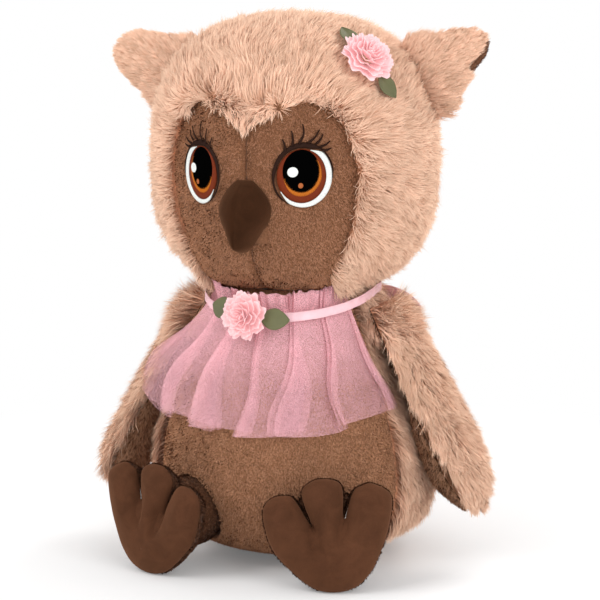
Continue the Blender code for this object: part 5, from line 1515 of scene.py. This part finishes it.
# A rosette's rings: shares of its radius at base and rim, of its depth there, and the number of waves.
ROSETTE_RINGS = ((0.34, 1.0, 0.05, 0.32, 8), (0.32, 0.9, 0.14, 0.5, 7), (0.28, 0.76, 0.22, 0.66, 7),
                 (0.22, 0.61, 0.3, 0.8, 6), (0.16, 0.47, 0.36, 0.9, 5), (0.1, 0.34, 0.42, 0.97, 5),
                 (0.05, 0.22, 0.46, 1.0, 4), (0.01, 0.1, 0.5, 1.0, 3))


def make_rosette(name, body, seat, out, radius, node, seed):
    """A flower of gathered ribbon: ruffled rings that stand up towards its rolled heart."""
    across = unit(np.cross(UP, out))
    third = np.cross(out, across)
    rng = np.random.default_rng(seed)
    rings = []
    for base, rim, low, high, waves in ROSETTE_RINGS:
        around = np.linspace(0, 2 * math.pi, 180)[None]
        share = np.linspace(0, 1, 8)[:, None]
        phase, odd = rng.uniform(0, 6.3, 2)
        wave = np.cos(waves * around + phase) + 0.5 * np.cos((2 * waves + 1) * around + odd)
        pleats = np.cos(waves * 4 * around + odd)
        curl = 0.05 * rise((share - 0.7) * 3.4)
        reach = radius * (mix(base, rim, share ** 0.8) + (0.085 * wave + 0.022 * pleats) * rim * share) * 0.96
        ruffle = (0.08 * np.sin(waves * around + phase) + 0.03 * pleats) * share * (1.1 - rim * 0.4)
        depth = ROSETTE_DEPTH * (mix(low, high, share ** 1.2) - curl + ruffle)
        at = (seat + out * depth[..., None] + across * (reach * np.cos(around))[..., None]
              + third * (reach * np.sin(around))[..., None])
        rings.append(Grid(at, outward=out))
    made = piece(name, joined(name, rings), body, "rose", "pink_satin", [node])
    thicken(made, "ribbon", FLOWER_RIBBON_THICKNESS, 0)


def make_leaf(name, body, place, radius, direction, node):
    """A leaf of folded ribbon with a crease down its middle."""
    way = np.array((math.cos(direction), math.sin(direction)))
    side = np.array((-way[1], way[0]))
    wide = through(((0, 0.3), (0.2, 0.8), (0.5, 1), (0.8, 0.62), (1, 0.06)))
    along = np.linspace(0, 1, 22)[:, None]
    t = np.linspace(-1, 1, 13)[None]
    spot = (way * (radius * 0.75 + LEAF_LENGTH * along)[..., None]
            + side * (LEAF_HALF_WIDTH * wide(along) * t)[..., None])
    fold = 0.0006 + 0.0011 * np.abs(t) * (1 - along * 0.5) + 0.0009 * along ** 2 + 0.0001 * np.cos(t * 20)
    grid = Grid(place(spot[..., 0], spot[..., 1], fold + 0 * along))
    made = piece(name, grid.mesh(name), body, "leaf", "olive_ribbon", [node])
    thicken(made, "ribbon", 0.0004, 0)


def make_flowers():
    """The rosettes beside the ear and on the chest, each with two leaves."""
    angle, height = np.array(HEAD_ROSETTE_ANGLE), np.array(HEAD_ROSETTE_SHARE * HEAD_SIZE[2])
    seat = head_point(angle, height, GAP)
    out = unit(head_point(angle, height, ROSETTE_DEPTH) - seat)
    make_rosette("head_ribbon_rose", "head", seat, out, HEAD_ROSETTE, "head_rosette", 91)
    level = unit(np.cross(UP, out))
    up = np.cross(out, level)

    def on_crown(u, v, lift):
        return on_head(seat + level * u[..., None] + up * v[..., None], lift)

    chest_angle, chest_height = CHEST_ROSETTE_ANGLE, CHEST_ROSETTE_HEIGHT
    chest_radius = body_radius(chest_height)
    trim = RIBBON_LIFT + 0.001 + RIBBON_HALF_WIDTH

    def on_chest(u, v, lift):
        return body_point(chest_angle + np.asarray(u) / (chest_radius + trim), chest_height + np.asarray(v),
                          trim + np.asarray(lift))

    chest_seat = on_chest(0.0, 0.0, GAP - RIBBON_HALF_WIDTH * 0.37)
    at = np.array(chest_angle), np.array(chest_height)
    ahead = unit(unit((body_skin(*at) - (0, FORWARD, 0)) * (1, 1, 0)) + body_normal(*at))
    make_rosette("chest_ribbon_rose", "torso", chest_seat, ahead, CHEST_ROSETTE, "chest_rosette", 92)
    for name, body, place, radius, direction, node in (
            ("head_leaf_above", "head", on_crown, HEAD_ROSETTE, 95, "head_leaf_upper"),
            ("head_leaf_below", "head", on_crown, HEAD_ROSETTE, -60, "head_leaf_lower"),
            ("chest_leaf_one", "torso", on_chest, CHEST_ROSETTE, 172, "chest_leaf_right"),
            ("chest_leaf_two", "torso", on_chest, CHEST_ROSETTE, -4, "chest_leaf_left")):
        make_leaf(name, body, place, radius, math.radians(direction), node)


def make_bow():
    """The bow behind the left shoulder: two loops of ribbon, a wrapped knot and two tails."""
    skin = body_skin(np.array(BOW_ANGLE), np.array(BOW_HEIGHT))
    way = unit((skin - (0, FORWARD, 0)) * (1, 1, 0))
    knot, knot_half_depth = 0.004, 0.0017
    seat = skin + way * (RIBBON_LIFT + 0.001 + GAP + knot / 2)
    span = unit(np.array((-math.cos(BOW_ANGLE), -math.sin(BOW_ANGLE), 0)))
    tall = through(((0, 0.34), (0.14, 0.4), (0.45, 0.85), (0.75, 0.9), (0.92, 0.66), (1, 0.45)))
    loops = []
    for turn in (-1, 1):
        around = np.linspace(0, 2 * math.pi, 61)[:, None]
        t = np.linspace(-1, 1, 11)[None]
        reach = 0.5 - 0.5 * np.cos(around)
        u = turn * BOW_HALF_SPAN * (0.02 + 0.96 * reach)
        v = t * BOW_HALF_HEIGHT * tall(reach) + 0.0004 * np.sin(around * 3 + t) - 0.0092 * reach ** 2
        lift = 0.0009 * np.sin(around) * (0.4 + 0.6 * reach) + 0.0001 * np.cos(t * 9)
        loop = seat + span * u[..., None] + UP * v[..., None] + way * lift[..., None]
        loops.append(Grid(loop, outward=way))
    made = piece("bow_loops", joined("loops", loops), "torso", "satin", "pink_satin", ["ribbon_bow_loops"])
    thicken(made, "ribbon", RIBBON_THICKNESS, 0)
    around = all_round(48)
    along = np.array((-0.5, -0.46, -0.2, 0, 0.2, 0.46, 0.5))[:, None]
    girth = 1 + 0.12 * np.cos(along * 6) + 0.03 * np.cos(around * 5)
    wrap = (seat + span * (along * knot + 0 * around)[..., None]
            + UP * (BOW_RIBBON_HALF_WIDTH * girth * np.sin(around))[..., None]
            + way * (knot_half_depth * girth * np.cos(around))[..., None])
    piece("bow_knot", tube("knot", wrap), "torso", "satin", "pink_satin", ["ribbon_bow_knot"])
    lean, drop = math.radians(35), -BOW_HALF_HEIGHT - 0.0025 - 3 * GAP
    share = np.linspace(-1, 1, 61)[:, None]
    along = TAIL_LENGTH * share
    t = np.linspace(-1, 1, 9)[None]
    fork_start, fork_depth = 0.93, 0.003
    forked = np.where(np.abs(share) > fork_start,
                      fork_depth * (np.abs(t) - 0.5) * (np.abs(share) - fork_start) / 0.07, 0)
    side_u = math.cos(lean) * np.clip(share * 8, -1, 1)
    side_v = mix(1, math.sin(lean), np.clip(np.abs(share) * 8, 0, 1))
    u = along * math.sin(lean) + side_u * t * BOW_RIBBON_HALF_WIDTH
    u = u + forked * np.sign(share) * math.sin(lean)
    v = drop - np.abs(along) * math.cos(lean) + side_v * t * BOW_RIBBON_HALF_WIDTH
    v = v - forked * math.cos(lean)
    lift = RIBBON_LIFT + 0.001 + GAP + 0.0004 + 0.0003 * np.sin(share * 21) + 0 * t
    tails = body_point(BOW_ANGLE - u / (body_radius(BOW_HEIGHT) + RIBBON_LIFT), BOW_HEIGHT + v, lift)
    grid = Grid(tails, outward=way)
    made = piece("bow_tails", grid.mesh("tails"), "torso", "satin", "pink_satin", ["ribbon_tails"])
    thicken(made, "ribbon", RIBBON_THICKNESS, 0)


# Stage

def make_floor():
    """A white floor that keeps the owl's shadow near it and fades to plain white."""
    bpy.ops.mesh.primitive_grid_add(x_subdivisions=8, y_subdivisions=8, size=FLOOR_WIDTH,
                                    location=(0, 0, FLOOR_HEIGHT))
    floor = bpy.context.object
    floor.name = "floor"
    cloth = Cloth("floor_white", roughness=0.9, specular=0.1)
    cloth.set({"Base Color": (0.93, 0.93, 0.93, 1)})
    place = cloth.place()
    far = cloth.node("ShaderNodeVectorMath", {"operation": "LENGTH"}, {0: place}, output="Value")
    glow = cloth.node("ShaderNodeEmission", {}, {"Color": (1, 1, 1, 1), "Strength": 1.0})
    seen = cloth.node("ShaderNodeLightPath", output="Is Camera Ray")
    fade_start, fade_end, least = 0.12, 0.42, 0.12
    share = cloth.spread(far, fade_start, fade_end) * (1 - least) + least
    blend = cloth.tree.nodes.new("ShaderNodeMixShader")
    cloth.set({0: share * seen, 1: Wire(cloth, cloth.shader.outputs[0]), 2: glow}, blend)
    cloth.tree.links.new(blend.outputs[0], cloth.tree.nodes["Material Output"].inputs["Surface"])
    floor.data.materials.append(cloth.material)


def make_world():
    """Soft light from all sides, and plain white where the camera sees it."""
    world = bpy.data.worlds.new("studio")
    bpy.context.scene.world = world
    world.use_nodes = True
    nodes, links = world.node_tree.nodes, world.node_tree.links
    nodes.clear()
    path = nodes.new("ShaderNodeLightPath")
    soft, plain, either, out = (nodes.new(k) for k in ("ShaderNodeBackground", "ShaderNodeBackground",
                                                       "ShaderNodeMixShader", "ShaderNodeOutputWorld"))
    for node, strength in ((soft, SKY_STRENGTH), (plain, 1.0)):
        node.inputs["Color"].default_value = (1, 1, 1, 1)
        node.inputs["Strength"].default_value = strength
    links.new(path.outputs["Is Camera Ray"], either.inputs[0])
    links.new(soft.outputs[0], either.inputs[1])
    links.new(plain.outputs[0], either.inputs[2])
    links.new(either.outputs[0], out.inputs["Surface"])


def aimed(name, data, spot, aim):
    """A lamp or camera at a spot, turned towards a point."""
    made = bpy.data.objects.new(name, data)
    made.location = spot
    made.rotation_euler = (aim - Vector(spot)).to_track_quat("-Z", "Y").to_euler()
    bpy.context.scene.collection.objects.link(made)
    return made


def make_stage():
    """A white floor, soft studio light and the camera at the photograph's angle."""
    make_floor()
    make_world()
    for name, spot, width, power in LAMPS:
        lamp = bpy.data.lights.new(name, "AREA")
        lamp.energy, lamp.size = power, width
        aimed(name, lamp, spot, LAMP_AIM)
    lens = bpy.data.cameras.new("camera")
    lens.lens, lens.clip_start, lens.clip_end = CAMERA_LENS, CAMERA_NEAR, CAMERA_FAR
    scene = bpy.context.scene
    scene.camera = aimed("camera", lens, CAMERA_PLACE, CAMERA_AIM)
    scene.view_settings.view_transform = "Standard"


# The add-on's operators and panel

class OwlStep:
    """What the owl's operators share."""
    bl_options = {"REGISTER", "UNDO"}

    def execute(self, context):
        self.make()
        return {"FINISHED"}


class OWL_OT_head_fur(OwlStep, bpy.types.Operator):
    """Grow the head's long fur on its knitted ground"""
    bl_idname, bl_label = "owl.head_fur", "Head fur"
    make = staticmethod(make_head_fur)


class OWL_OT_face(OwlStep, bpy.types.Operator):
    """Make the two halves of the short-plush face"""
    bl_idname, bl_label = "owl.face", "Face"
    make = staticmethod(make_face)


class OWL_OT_eyes(OwlStep, bpy.types.Operator):
    """Embroider the eyes, lids and lashes"""
    bl_idname, bl_label = "owl.eyes", "Eyes"
    make = staticmethod(make_eyes)


class OWL_OT_beak(OwlStep, bpy.types.Operator):
    """Make the stuffed suede beak"""
    bl_idname, bl_label = "owl.beak", "Beak"
    make = staticmethod(make_beak)


class OWL_OT_ears(OwlStep, bpy.types.Operator):
    """Make both ears"""
    bl_idname, bl_label = "owl.ears", "Ears"
    make = staticmethod(make_ears)


class OWL_OT_body(OwlStep, bpy.types.Operator):
    """Make the body's covers, base and fillings"""
    bl_idname, bl_label = "owl.body", "Body"
    make = staticmethod(make_body)


class OWL_OT_wings(OwlStep, bpy.types.Operator):
    """Make both wings"""
    bl_idname, bl_label = "owl.wings", "Wings"
    make = staticmethod(make_wings)


class OWL_OT_legs(OwlStep, bpy.types.Operator):
    """Make both legs and feet"""
    bl_idname, bl_label = "owl.legs", "Legs and feet"
    make = staticmethod(make_legs)


class OWL_OT_cape(OwlStep, bpy.types.Operator):
    """Hang the tulle cape"""
    bl_idname, bl_label = "owl.cape", "Tulle cape"
    make = staticmethod(make_cape)


class OWL_OT_ribbon(OwlStep, bpy.types.Operator):
    """Tie the ribbon round the neck"""
    bl_idname, bl_label = "owl.ribbon", "Neck ribbon"
    make = staticmethod(make_ribbon)


class OWL_OT_flowers(OwlStep, bpy.types.Operator):
    """Make the ribbon rosettes and their leaves"""
    bl_idname, bl_label = "owl.flowers", "Rosettes and leaves"
    make = staticmethod(make_flowers)


class OWL_OT_bow(OwlStep, bpy.types.Operator):
    """Tie the bow at the back"""
    bl_idname, bl_label = "owl.bow", "Bow"
    make = staticmethod(make_bow)


class OWL_OT_stage(OwlStep, bpy.types.Operator):
    """Set the floor, the lights and the camera"""
    bl_idname, bl_label = "owl.stage", "Stage"
    make = staticmethod(make_stage)


STEPS = (OWL_OT_head_fur, OWL_OT_face, OWL_OT_eyes, OWL_OT_beak, OWL_OT_ears, OWL_OT_body, OWL_OT_wings,
         OWL_OT_legs, OWL_OT_cape, OWL_OT_ribbon, OWL_OT_flowers, OWL_OT_bow, OWL_OT_stage)


class OWL_PT_panel(bpy.types.Panel):
    """The owl's steps, sizes and colours"""
    bl_label = "Plush owl"
    bl_space_type = "VIEW_3D"
    bl_region_type = "UI"
    bl_category = "Owl"

    def draw(self, context):
        for step in STEPS:
            self.layout.operator(step.bl_idname)
        for group in (context.scene.owl_sizes, context.scene.owl_colours):
            box = self.layout.box()
            for key in group.__annotations__:
                box.prop(group, key)


CLASSES = (OwlSizes, OwlColours, *STEPS, OWL_PT_panel)


def register():
    for each in CLASSES:
        bpy.utils.register_class(each)
    bpy.types.Scene.owl_sizes = PointerProperty(type=OwlSizes)
    bpy.types.Scene.owl_colours = PointerProperty(type=OwlColours)


def unregister():
    del bpy.types.Scene.owl_colours
    del bpy.types.Scene.owl_sizes
    for each in reversed(CLASSES):
        bpy.utils.unregister_class(each)


def main():
    register()
    for step in STEPS:
        group, name = step.bl_idname.split(".")
        getattr(getattr(bpy.ops, group), name)()


if __name__ == "__main__":
    main()
